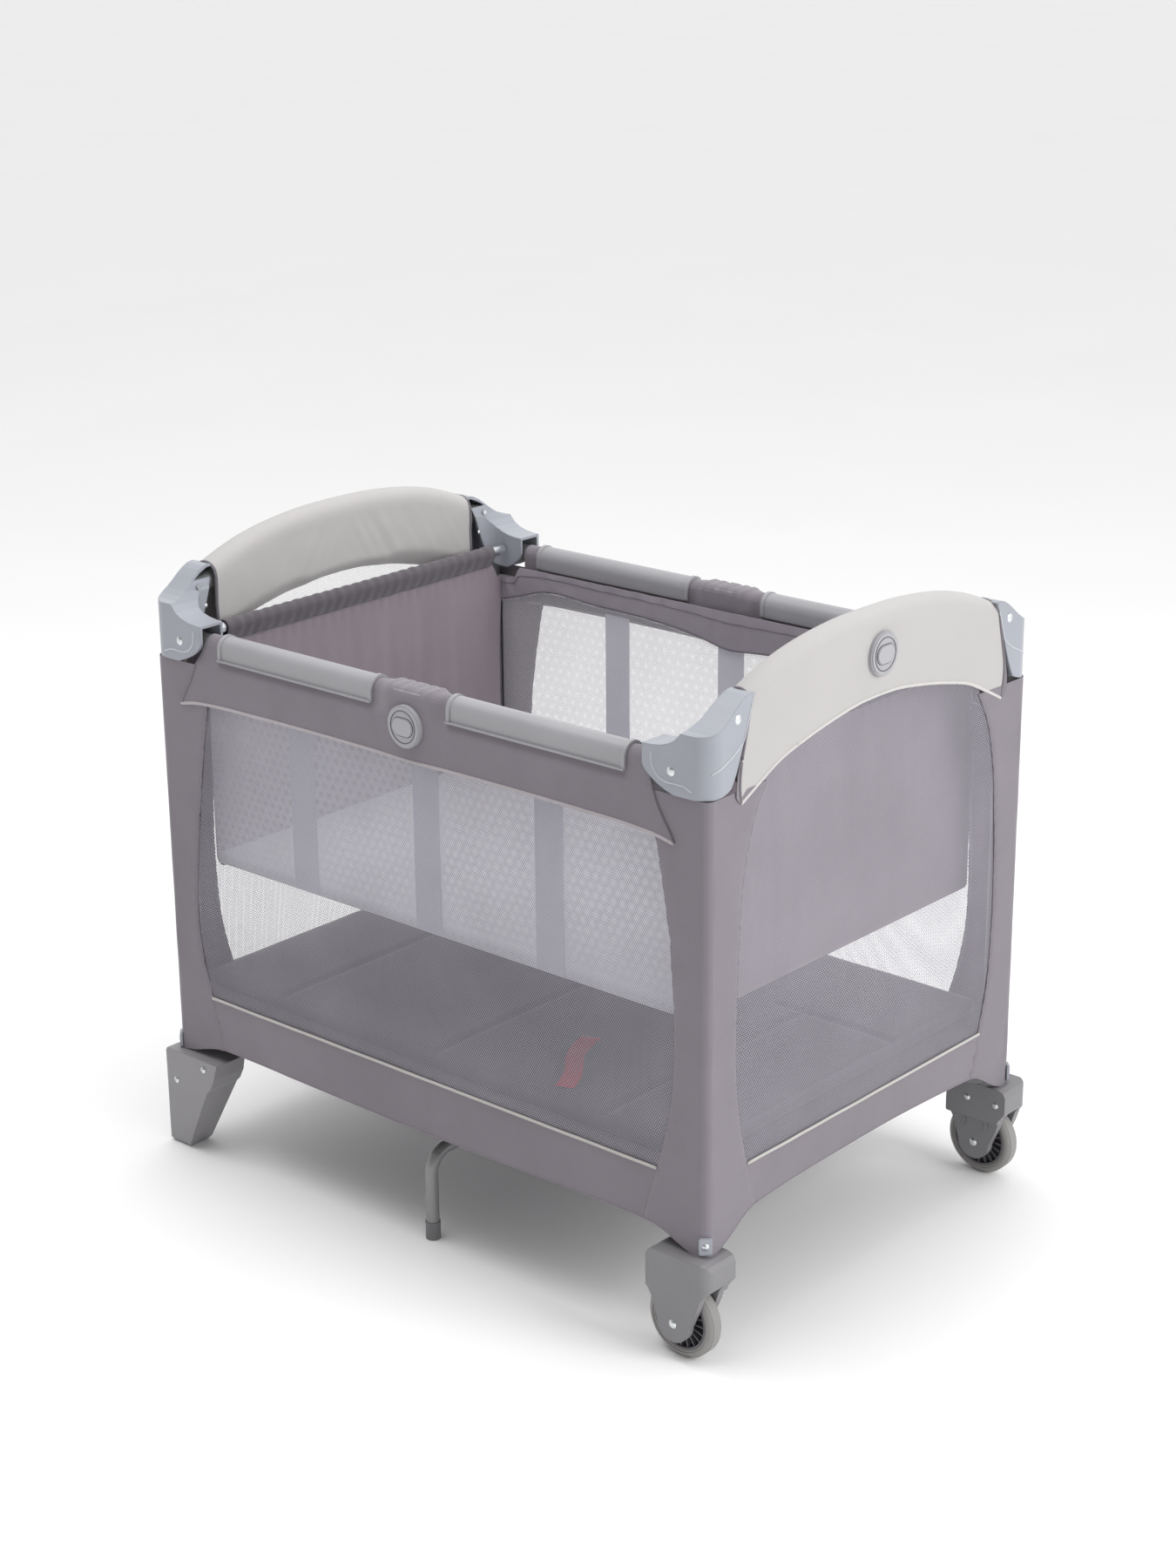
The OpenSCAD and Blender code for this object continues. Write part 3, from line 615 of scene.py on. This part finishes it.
def cap_lines(tag):
    """Two raised lines that follow the outside of a corner cap, in a lighter copy of its plastic: a painted
    highlight along its rim.
    """
    sx, sy = CORNERS[tag]
    cap = nodes["corner_cap_" + tag]
    surface = BVHTree.FromPolygons([cap.matrix_world @ v.co for v in cap.data.vertices],
                                   [tuple(p.vertices) for p in cap.data.polygons])
    for kind, path in (("long", CAP_LINE_LONG), ("end", CAP_LINE_END)):
        line = []
        for a, z in soft_path(path):
            if kind == "long":
                start, aim = Vector((sx * a, sy * 420, z)), Vector((0, -sy, 0))
            else:
                start, aim = Vector((sx * 560, sy * a, z)), Vector((-sx, 0, 0))
            hit = surface.ray_cast(start * MM, aim)[0]
            if hit is not None:
                line.append(hit / MM)
        if len(line) > 5:
            # lighter cord: painted highlight along the cap's rim
            ridge = rope("cap_line_%s_%s" % (kind, tag), line, 1.1, M["cap_line"], 6)
            on(ridge, "leg_" + tag)


def oval(half_length, radius, count=48):
    """Outline of a rounded slot, as pairs."""
    points = []
    for k in range(count + 1):
        a = 2 * math.pi * k / count
        shift = math.copysign(half_length, math.cos(a)) if abs(math.cos(a)) > 1e-9 else 0.0
        points.append((shift + radius * math.cos(a), radius * math.sin(a)))
    return points


def latch_lines(side):
    """Dark cords in the fine grooves on a latch, a ring on its boss and the outline of its button: painted
    shade in the grooves.
    """
    for k, ring in enumerate((oval(0, 21.5, 60), oval(6, 12.4))):
        if side in ("front", "back"):
            sy = -1 if side == "front" else 1
            line = [(a, sy * LATCH_FACE_Y, BUTTON_Z + b) for a, b in ring]
        else:
            sx = -1 if side == "left" else 1
            line = [(sx * LATCH_FACE_X, a, ARCH_BUTTON_Z + b) for a, b in ring]
        # dark cord: painted shade in the groove
        on(rope("latch_line_%s_%d" % (side, k), line, 0.8, M["latch_line"], 5), "latch_" + side)


for tag in CORNERS:
    cap_lines(tag)
for side in ("front", "back", "left", "right"):
    latch_lines(side)


# ---------------------------------------------------------------- walls between the sleeves
WALL_LEG = {"front": "leg_fl", "back": "leg_bl", "left": "leg_fl", "right": "leg_fr"}


def squash_wall(obj, side):
    """Wall cloth follows its own leg, with a mesh of its own."""
    on(obj, WALL_LEG[side])
    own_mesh(obj)


def sew_wall(side, mesh, skirt, piping_line, bottom):
    """One wall: mesh, skirt and bottom strip are each a point function and its grid steps."""
    along_x = side in ("front", "back")
    # the back and left walls take the lighter mesh: painted light
    net_key = "net_far_painted_lighter" if side in ("back", "left") else "net_near"
    panel = grid("mesh_" + side, *mesh, M[net_key], uv=lambda p: (p.x if along_x else p.y, p.z))
    cloth_skirt = grid("skirt_" + side, *skirt, M["grey_taut"], thick=1.0)
    skirt_point, steps = skirt[0], skirt[1]
    hem_line = [skirt_point(i / steps, 0.0) for i in range(steps + 1)]
    hem = rope("skirt_hem_" + side, hem_line, 1.3, M["grey"], 6)
    piping = rope("skirt_piping_" + side, piping_line, 2.3, M["cream_piping"], 8, flat=0.5)
    strip = grid("bottom_cloth_" + side, *bottom, M["floor"], thick=0.9)
    for piece in (panel, cloth_skirt, hem, piping, strip):
        squash_wall(piece, side)
    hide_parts(("side_" if along_x else "end_") + side)
    cloth(strip)
    cloth(panel)
    cloth(cloth_skirt)


def long_wall(side):
    sy = -1 if side == "front" else 1

    def mesh_point(u, v):
        z = MESH_LOW + (748 - MESH_LOW) * v
        left, right = long_window(z, -1, sy) + 5, long_window(z, 1, sy) + 5
        x = -left + (left + right) * u
        y = WALL_Y - 2.0 + 1.6 * wob(x, 5 * sy, z, 190, 2) * math.sin(math.pi * u)
        return (x, sy * y, z)

    def skirt_point(u, v):
        z = 160 + 87 * v
        for _ in range(2):
            left, right = long_window(z, -1, sy) + 4, long_window(z, 1, sy) + 4
            x = -left + (left + right) * u
            zb = hem_long(x, x < 0)
            z = zb + (SKIRT_TOP - zb) * v
        y = WALL_Y - 1.2 + 0.8 * wob(x, 9 * sy, z, 110, 4) + 0.5 * (1 - v) * wob(x, 0, 0, 40, 1)
        return (x, sy * y, z)

    def bottom_point(u, v):
        z = 246.0 + 0.6 * wob(890 * u, 0, 0, 50)
        return (-445 + 890 * u, sy * (WALL_Y - 1.5 - 38.0 * v), z)

    piping_line = [(-413 + 826 * i / 80, sy * (WALL_Y + 0.6), SKIRT_TOP + 0.5 * wob(10 * i, 0, 0, 60))
                   for i in range(81)]
    sew_wall(side, (mesh_point, 48, 28), (skirt_point, 90, 12), piping_line, (bottom_point, 60, 6))


def end_wall(side):
    sx = -1 if side == "left" else 1

    def mesh_point(u, v):
        t = 2 * u - 1
        half = SQUASH_Y
        for _ in range(3):
            y = half * t
            top = cover_low(abs(y)) + 9
            z = MESH_LOW + (top - MESH_LOW) * v
            half = short_window(z, sx) + 5
        y = half * t
        x = WALL_X - 2.2 + 1.3 * wob(5 * sx, y, z, 170, 3) * math.sin(math.pi * u)
        return (sx * x, y, z)

    def skirt_point(u, v):
        t = 2 * u - 1
        half = SQUASH_Y
        for _ in range(3):
            y = half * t
            zb = hem_end(y, sx < 0)
            z = zb + (SKIRT_TOP - zb) * v
            half = short_window(z, sx) + 4
        y = half * t
        x = WALL_X - 1.2 + 0.8 * wob(9 * sx, y, z, 110, 4)
        return (sx * x, y, z)

    def bottom_point(u, v):
        z = 246.3 + 0.6 * wob(600 * u, 9, 0, 50)
        return (sx * (WALL_X - 1.5 - 48.0 * v), -300 + 600 * u, z)

    piping_line = [(sx * (WALL_X + 0.6), -258 + 516 * i / 60, SKIRT_TOP + 0.5 * wob(10 * i, 3, 0, 60))
                   for i in range(61)]
    sew_wall(side, (mesh_point, 40, 32), (skirt_point, 60, 12), piping_line, (bottom_point, 40, 6))


for side in ("front", "back"):
    long_wall(side)


# ---------------------------------------------------------------- covers of the long rails
def button_room(across, rise, v):
    """1 behind a latch's button, where the cloth keeps out of its way, and 0 elsewhere."""
    return smooth(27.0, 21.0, math.hypot(across, rise)) * smooth(0.5, 0.4, v)


def rail_cover(side, sx):
    """One half of a long rail's cover, in two pieces: by the corner and by the latch."""
    sy = -1 if side == "front" else 1
    lr = "l" if sx < 0 else "r"

    def section(t, bulge, x):
        """Offset from the rail's axis at t from 0, outer hem, to 1, inner hem."""
        hem = flap_low(x) - RAIL_Z
        turns = np.linspace(0, math.pi, 11)[1:]
        thin = [(19.6, hem), (19.4, -45), (18.6, -28), (14.6, -17), (13.6, 0)]
        thin += [(13.6 * math.cos(a), 13.6 * math.sin(a)) for a in turns]
        thin += [(-13.6, -10), (-13.6, -18), (-14.0, -26)]
        fat = [(20.6, hem), (20.8, -45), (21.0, -25), (20.8, -10), (20.6, 0)]
        fat += [(20.6 * math.copysign(abs(math.cos(a)) ** 0.6, math.cos(a)), 17.0 * math.sin(a) ** 0.75)
                for a in turns[:-1]]
        fat += [(-20.4, 0), (-20.4, -10), (-20.2, -18), (-19.5, -26)]
        n = len(thin) - 1
        k = min(int(t * n), n - 1)
        f = t * n - k
        offset = []
        for axis in (0, 1):
            a = thin[k][axis] * (1 - f) + thin[k + 1][axis] * f
            b = fat[k][axis] * (1 - f) + fat[k + 1][axis] * f
            offset.append(a + (b - a) * bulge)
        return offset

    def point(x_from, x_to):
        def at(u, v):
            x = x_from + (x_to - x_from) * u
            bulge = smooth(62, 30, x)
            dy, dz = section(v, bulge, x)
            z = RAIL_Z + dz
            if x_to == COVER_END:
                end = flap_end(z) if v < 0.5 else 390.5
                x = x_from + (end - x_from) * u
                if v < 0.02:
                    z += flap_low(x) - flap_low(x_from + (x_to - x_from) * u)
            ripple = 0.8 * wob(x, z, 3 * sy, 60, 1) * smooth(0.0, 0.08, v) * smooth(1.0, 0.3, v)
            gather = 0.9 * bulge * math.sin(x / 2.6) * smooth(0.25, 0.5, v) * smooth(1.0, 0.8, v)
            room = 3.4 * button_room(x, z - BUTTON_Z, v)
            y = RAIL_Y + dy + ripple - room
            return (sx * x, sy * y, z + gather + 0.6 * bulge * wob(x, z, 0, 14, 2))
        return at

    pieces = []
    for part, x_from, x_to, nu in (("inner", 0.0, COVER_SPLIT, 100), ("outer", COVER_SPLIT, COVER_END, 60)):
        fn = point(x_from, x_to)
        name = "rail_cover_%s_%s_%s" % (side, lr, part)
        obj = grid(name, fn, nu, 76, M["grey"], thick=1.0)
        edge = [fn(i / 50, 0.0) for i in range(51)]
        extras = [rope(name + "_piping", edge, 2.4, M["piping"], 8)]
        if part == "outer":
            tip = [fn(1.0, v * 0.36) for v in np.linspace(0, 1, 30)]
            extras.append(rope(name + "_binding", tip, 1.7, M["binding"], 6))
        pieces.append((part, obj, extras))
    return pieces


def attach_rail_cover(side, sx, pieces):
    lr = "l" if sx < 0 else "r"
    rail = "rail_%s_%s" % (side, lr)
    joined_leg = {"front_l": "leg_fl", "back_r": "leg_br"}.get("%s_%s" % (side, lr))
    for part, obj, extras in pieces:
        for piece in [obj] + extras:
            if part == "inner":
                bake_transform(piece)
            elif joined_leg:
                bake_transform(piece)
            else:
                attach(piece, rail)
        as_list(extras)


for side in ("front", "back"):
    for sx in (-1, 1):
        made = rail_cover(side, sx)
        attach_rail_cover(side, sx, made)
        if sx < 0:
            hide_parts("cover_" + side)


# ---------------------------------------------------------------- padded covers of the end arches
def end_cover_section(y, s):
    """Point s from 0 to 1 round the padded section at distance y: outer face, top, inner face."""
    low, top = cover_low(y), cover_top(y)
    mid = top - 19.0
    if s < 0.42:
        t = s / 0.42
        z = low + (mid - low) * t
        x = 491.2 + 2.3 * math.sin(math.pi * min(t * 1.2, 1.0) * 0.55) - 0.4
    elif s < 0.62:
        a = (s - 0.42) / 0.20 * math.pi
        x = ARCH_X + 19.3 * math.cos(a)
        z = mid + 19.0 * math.sin(a)
    else:
        t = (s - 0.62) / 0.38
        z = mid + (low - mid) * t
        first = 0.80 - 0.10 * smooth(70, 110, abs(y))
        x = 454.2 + (487.6 - 454.2) * smooth(first, 1.15, t) ** 1.25
    return x, z


def end_cover(side):
    sx = -1 if side == "left" else 1
    mate = {"left": ("leg_fl", "f"), "right": ("leg_br", "b")}[side]
    for fb, sy in (("f", -1), ("b", 1)):
        half = "arch_%s_%s" % (side, fb)

        def point(y_from, y_to):
            def at(u, v):
                y = y_from + (y_to - y_from) * u
                x, z = end_cover_section(y, v)
                if y_to == ARCH_COVER_END:
                    last = arch_cover_end(z) + (256.0 - arch_cover_end(z)) * smooth(0.46, 0.60, v)
                    y = y_from + (last - y_from) * u
                    x, z = end_cover_section(y, v)
                inner = smooth(0.55, 0.75, v)
                soft = (1.7 * wob(y, z, 0, 46, 7 * sx) + 1.0 * wob(y + 0.6 * z, 0, 0, 17, 2)) * inner
                soft *= math.sin(math.pi * min(max((v - 0.55) / 0.45, 0), 1))
                outer = 0.7 * wob(y, z, 9, 80, sx) * math.sin(math.pi * min(v / 0.42, 1.0))
                outer -= 4.6 * button_room(y, z - ARCH_BUTTON_Z, v)
                return (sx * (x + outer + soft), sy * y, z)
            return at

        for part, a, b, nu in (("mid", 0.0, ARCH_SPLIT, 50), ("end", ARCH_SPLIT, ARCH_COVER_END, 40)):
            fn = point(a, b)
            name = "cover_skin_%s_%s" % (side, fb) + ("" if part == "mid" else "_end")
            obj = grid(name, fn, nu, 60, M["cream"], thick=1.2)
            reach = fn(1, 0)[1] * sy
            ys = [a + (reach - a) * i / 40 for i in range(41)]
            line = [(sx * 491.0, sy * y, cover_low(y) - 0.5) for y in ys]
            extras = [rope(name + "_piping", line, 2.4, M["white_piping"], 8)]

            def gusset_point(u, v, fn=fn):
                """Narrow strip from the cover's end to its face, wider below."""
                x, y, z = fn(1.0, 0.38 * v)
                wide = 11.0 * (1 - v) ** 1.5 * min(1.0, 8 * v + 0.15)
                return tuple(Vector((x, y, z)).lerp(Vector((sx * 493.2, sy * (y * sy + wide), z)), u))

            if part == "end":
                rim = [fn(1.0, v) for v in np.linspace(0.0, 1.0, 60)]
                extras.append(rope(name + "_binding", rim, 2.4, M["binding"], 8))
                extras.append(grid(name + "_gusset", gusset_point, 6, 24, M["grey"], thick=1.0))
            for piece in [obj] + extras:
                if part == "mid":
                    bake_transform(piece)
                elif mate[1] == fb:
                    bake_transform(piece)
                else:
                    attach(piece, half)
            if part == "mid" and fb == "f":
                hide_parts("cover_" + side)


for side in ("left", "right"):
    end_cover(side)
    end_wall(side)


# ---------------------------------------------------------------- bassinet
def tub_long(side):
    sy = -1 if side == "front" else 1

    def wall_point(u, v):
        x = -TUB_X + 8 + (2 * TUB_X - 16) * u
        lean = 2.2 * math.sin(math.pi * v) * wob(x, 0, 0, 200, 3)
        if v < BEND_SHARE:
            a = v / BEND_SHARE * math.pi / 2
            return (x, sy * (TUB_Y - TUB_BEND + TUB_BEND * math.sin(a)), TUB_WALL - TUB_BEND * math.cos(a))
        z = TUB_WALL + (TUB_TOP - TUB_WALL) * (v - BEND_SHARE) / (1 - BEND_SHARE)
        y = TUB_Y - 1.0 + lean - 3.0 * smooth(700, 740, z) * (1 - smooth(60, 30, abs(x)))
        return (x, sy * y, z)

    # the bassinet's back wall takes the lighter mesh: painted light
    wall = grid("tub_mesh_" + side, wall_point, 60, 34, M["tub_net_" + side], uv=lambda p: (p.x, p.z))

    def band_point(u, v):
        x = -TUB_X + 4 + (2 * TUB_X - 8) * u
        low = band_low(x)
        top = 738.0 + 19.0 * smooth(404, 388, abs(x))
        z = low + (top - low) * v
        y = TUB_Y - 1.8 - 2.5 * smooth(700, 745, z)
        fold = math.sin(x / 7.5 + 4 * wob(x, 0, 0, 60, 1) + 0.8 * wob(x, z, 0, 40, 9))
        depth = 1.7 * (0.35 + 0.65 * abs(wob(x, 0, 0, 90, 6) * 2))
        depth *= math.sin(math.pi * max(v, 0.05) * 0.85)
        return (x, sy * (y - 1.2 - depth * fold), z)

    band = grid("tub_band_" + side, band_point, 260, 12, M["band"], thick=0.9)
    low_line = [Vector(band_point(i / 160, 0.0)) for i in range(161)]
    seam_line = [Vector(band_point(i / 160, 0.72)) + Vector((0, -sy * 0.8, 0)) for i in range(161)]
    thread_line = [p + Vector((0, -sy * 1.6, -3.0)) for p in low_line]
    edge = rope("tub_band_edge_" + side, low_line, 1.6, M["binding"], 6)
    seam = rope("tub_band_seam_" + side, seam_line, 0.7, M["binding"], 6)
    thread = stitches("tub_band_thread_" + side, thread_line, M["light_thread"], "bassinet",
                      (0, -sy, 0), pitch=5.0, radius=0.55)
    extras = [band, edge, seam, thread]
    centres = (-246, -12, 204) if side == "front" else (-198, 18, 236)
    for k, cx in enumerate(centres):
        def strap_point(u, v, cx=cx):
            x = cx + 47 * (u - 0.5)
            z = 440 + (712 - 440) * v
            v_wall = BEND_SHARE + (1 - BEND_SHARE) * (z - TUB_WALL) / (TUB_TOP - TUB_WALL)
            base = wall_point((x + TUB_X - 8) / (2 * TUB_X - 16), v_wall)
            return (x, base[1] + sy * 1.2, z)
        extras.append(grid("tub_strap_%s_%d" % (side, k), strap_point, 6, 20, M["webbing"], thick=1.2))
    for e in extras + [wall]:
        on(e, "bassinet")
    cloth(wall)


def tub_end(side):
    sx = -1 if side == "left" else 1

    def wall_point(u, v):
        y = -(TUB_Y - 4) + 2 * (TUB_Y - 4) * u
        if v < BEND_SHARE:
            a = v / BEND_SHARE * math.pi / 2
            return (sx * (TUB_X - 14 + TUB_BEND * math.sin(a)), y, TUB_WALL - TUB_BEND * math.cos(a))
        t = (v - BEND_SHARE) / (1 - BEND_SHARE)
        edge = smooth(272, 292, abs(y))
        top = 762.0 - 26.0 * edge
        z = TUB_WALL + (top - TUB_WALL) * t
        x = TUB_X - 2 - 6.5 * smooth(0.55, 1.0, t)
        k = math.sin(math.pi * min(t * 1.02, 1.0)) ** 0.7
        pleat = math.sin(y / 13.0 + 3.0 * wob(y, 0, 0, 90, 4 * sx) + 0.9 * t)
        pleat += 0.5 * math.sin(y / 5.7 + 2 * t)
        x -= k * (1.6 + 1.9 * pleat * (0.35 + 0.65 * t)) * math.cos(math.pi * u - math.pi / 2) ** 0.4
        x -= 1.0 * math.sin(y / 3.1) * smooth(0.86, 1.0, t) * (1 - edge)
        return (sx * x, y, z)

    wall = grid("tub_end_" + side, wall_point, 150, 60, M["mauve"], thick=0.9)

    def tube_point(u, v):
        y = -271 + 542 * v
        a = 2 * math.pi * u
        r = 10.2 + 0.5 * math.sin(y / 3.1) + 0.5 * wob(y, a * 8, 0, 12, 2)
        sag = max(0.0, -math.sin(a)) ** 3
        return (sx * (BAR_X + r * math.cos(a) + 4 * sag), y, BAR_Z + r * math.sin(a) - 12.0 * sag)

    tube = grid("tub_bar_sleeve_" + side, tube_point, 24, 180, M["bar_sleeve"], thick=0.8, closed=True)
    line = [(sx * (TUB_X - 11.5), -271 + 542 * i / 60, 757 + wob(9 * i, 0, 0, 30)) for i in range(61)]
    seam = rope("tub_bar_seam_" + side, line, 1.1, M["binding"], 6)
    for e in (wall, tube, seam):
        on(e, "bassinet")
    return wall


for side in ("front", "back"):
    tub_long(side)
ends = [tub_end(side) for side in ("left", "right")]
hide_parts("bassinet_tub")


def cushion(name, low, high, material, body, node, bulge=4.0, folds=(), quilt=0.0):
    """A padded board from corner low to corner high in mm, with pulled-in edges and sewn folds."""
    lx, ly, lz = low
    hx, hy, hz = high
    nu, nv = 180, 120

    def top(u, v):
        x, y = lx + (hx - lx) * u, ly + (hy - ly) * v
        e = min(x - lx, hx - x, y - ly, hy - y)
        z = hz - bulge + bulge * (1 - math.exp(-e / 16.0))
        for axis, at, first, last in folds:
            d = abs((x, y)[axis] - at)
            other = (x, y)[1 - axis]
            if first <= other <= last:
                z -= 5.0 * math.exp(-(d / 5.5) ** 2)
        if any(abs(math.sin(math.pi * slant / 110)) < 0.12 for slant in (x + y, x - y)):
            z -= quilt
        return (x, y, z + 0.7 * wob(x, y, 0, 90, 3))

    verts, faces, uvs = [], [], []
    for j in range(nv + 1):
        for i in range(nu + 1):
            p = top(i / nu, j / nv)
            verts.append(p)
            uvs.append((p[0], p[1]))
    cols = nu + 1
    for j in range(nv):
        for i in range(nu):
            a = j * cols + i
            faces.append((a, a + 1, a + 1 + cols, a + cols))
    rim = ([i for i in range(cols)] + [j * cols + nu for j in range(1, nv + 1)]
           + [nv * cols + i for i in range(nu - 1, -1, -1)] + [j * cols for j in range(nv - 1, 0, -1)])
    rings = [(1.8, hz - bulge - 3), (2.2, (hz + lz) / 2), (1.0, lz + 2.5), (-1.5, lz)]
    previous = rim
    cx, cy = (lx + hx) / 2, (ly + hy) / 2
    for grow, z in rings:
        ring = []
        for k in rim:
            x, y, _ = verts[k]
            gx = grow * (x - cx) / ((hx - lx) / 2)
            gy = grow * (y - cy) / ((hy - ly) / 2)
            ring.append(len(verts))
            verts.append((x + gx, y + gy, z))
            uvs.append((x + gx, y + z))
        for k in range(len(rim)):
            a, b = previous[k], previous[(k + 1) % len(rim)]
            c, d = ring[(k + 1) % len(rim)], ring[k]
            faces.append((b, a, d, c))
        previous = ring
    faces.append(tuple(reversed(previous)))
    obj = make(name, verts, faces, material, uvs)
    on(obj, body)
    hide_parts(node)


cushion("bassinet_cushion", (-431, -294, 435), (431, 294, 456), M["quilt"], "bassinet",
        "bassinet_pad", quilt=1.5)
cushion("floor_cushion", (-447, -305, 247.5), (447, 305, 275), M["floor"], "floor_pad",
        "floor_pad", bulge=3.0,
        folds=((0, -296, -999, 999), (0, 0, -999, 999), (0, 296, -999, 100), (1, 115, 250, 999)))


def tub_bottom_point(u, v):
    x = -TUB_X + 14 + (2 * TUB_X - 28) * u
    return (x, -(TUB_Y - TUB_BEND) + 2 * (TUB_Y - TUB_BEND) * v, TUB_Z + 1.4)


bottom = grid("tub_bottom", tub_bottom_point, 20, 14, M["mauve"], thick=0.9)
on(bottom, "bassinet")
cloth(bottom)


# ---------------------------------------------------------------- red pull strap
def strap_path(t):
    """Flat strap: up through the slit in the pad, then loosely along its top."""
    start, end = Vector((138, -147, 0)), Vector((206, -287, 0))
    d = (end - start).normalized()
    if t < 0.18:
        k = t / 0.18
        return start + Vector((0, 0, 244 + 32 * k)), d
    k = (t - 0.18) / 0.82
    sway = Vector((d.y, -d.x, 0)) * (7.0 * math.sin(k * 5.5))
    lift = 276.2 + 2.2 * math.sin(math.pi * k) + 3.0 * math.exp(-((k - 0.05) / 0.08) ** 2)
    p = start.lerp(end, k) + sway
    return Vector((p.x, p.y, lift)), d


def strap_point(u, v):
    p, d = strap_path(v)
    side = Vector((d.y, -d.x, 0)) * (u - 0.5) * 25.0
    turn = 0.35 * math.sin(v * 7.0)
    return (p.x + side.x, p.y + side.y, p.z + abs(turn) * (u - 0.2) * 3.0 + 0.4)


strap = grid("red_strap", strap_point, 6, 60, M["red"], thick=1.4)
on(strap, "hub")
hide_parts("pull_strap")

# ---------------------------------------------------------------- camera, light and floor
cam_data = bpy.data.cameras.new("camera")
cam = bpy.data.objects.new("camera", cam_data)
scene.collection.objects.link(cam)
cam_data.sensor_width = 36.0
cam_data.lens = 63.95
PLACE = (2.4151, -2.7340, 1.8219)
yaw, pitch, roll = math.radians(41.391), math.radians(18.926), math.radians(-0.525)
back = Vector((math.sin(yaw) * math.cos(pitch), -math.cos(yaw) * math.cos(pitch), math.sin(pitch)))
level_right = Vector((math.cos(yaw), math.sin(yaw), 0))
level_up = back.cross(level_right)
right = level_right * math.cos(roll) + level_up * math.sin(roll)
up = level_up * math.cos(roll) - level_right * math.sin(roll)
rows = [(right[k], up[k], back[k], PLACE[k]) for k in range(3)]
cam.matrix_world = Matrix(rows + [(0, 0, 0, 1)])
scene.camera = cam

# The sky is even and white, and darkens above the horizon on the side of the long front wall.
world = bpy.data.worlds.new("studio")
sky = Tree("studio", world)
direction = sky.node("ShaderNodeTexCoord").outputs["Generated"]
frontward = sky.node("ShaderNodeVectorMath", operation="DOT_PRODUCT")
frontward.inputs[1].default_value = (0.15, -1.0, -0.1)
sky.link(direction, frontward.inputs[0])
height = sky.node("ShaderNodeSeparateXYZ")
sky.link(direction, height.inputs[0])
dark = sky.math("MULTIPLY", sky.spread(frontward.outputs["Value"], -0.25, 0.65),
                sky.spread(height.outputs["Z"], 0.10, 0.28))
background = sky.nt.nodes["Background"]
sky.link(sky.math("MULTIPLY_ADD", dark, -0.92, 1.15), background.inputs["Strength"])
background.inputs["Color"].default_value = (1, 1, 1, 1)
scene.world = world
scene.view_settings.view_transform = "Standard"


def lamp(name, place, target, size, power):
    data = bpy.data.lights.new(name, "AREA")
    data.shape = "RECTANGLE"
    data.size, data.size_y = size
    data.energy = power
    obj = bpy.data.objects.new(name, data)
    scene.collection.objects.link(obj)
    obj.location = place
    obj.rotation_euler = (Vector(target) - Vector(place)).to_track_quat("-Z", "Y").to_euler()


lamp("key", (3.6, 0.4, 2.2), (0, 0, 0.5), (1.6, 1.6), 62)
lamp("top", (-0.4, -0.6, 3.6), (0, 0, 0.6), (2.2, 2.2), 52)

floor_mesh = bpy.data.meshes.new("studio_floor")
REACH = 30.0
corners = [(-REACH, -REACH, 0), (REACH, -REACH, 0), (REACH, REACH, 0), (-REACH, REACH, 0)]
floor_mesh.from_pydata(corners, [], [(0, 1, 2, 3)])
floor = bpy.data.objects.new("studio_floor", floor_mesh)
scene.collection.objects.link(floor)
paint = Tree("studio_floor")
paint.link(paint.ramp(paint.noise(600.0), (0.955,) * 3, (0.97,) * 3), paint.bsdf.inputs["Base Color"])
paint.bsdf.inputs["Roughness"].default_value = 0.8
floor_mesh.materials.append(paint.mat)
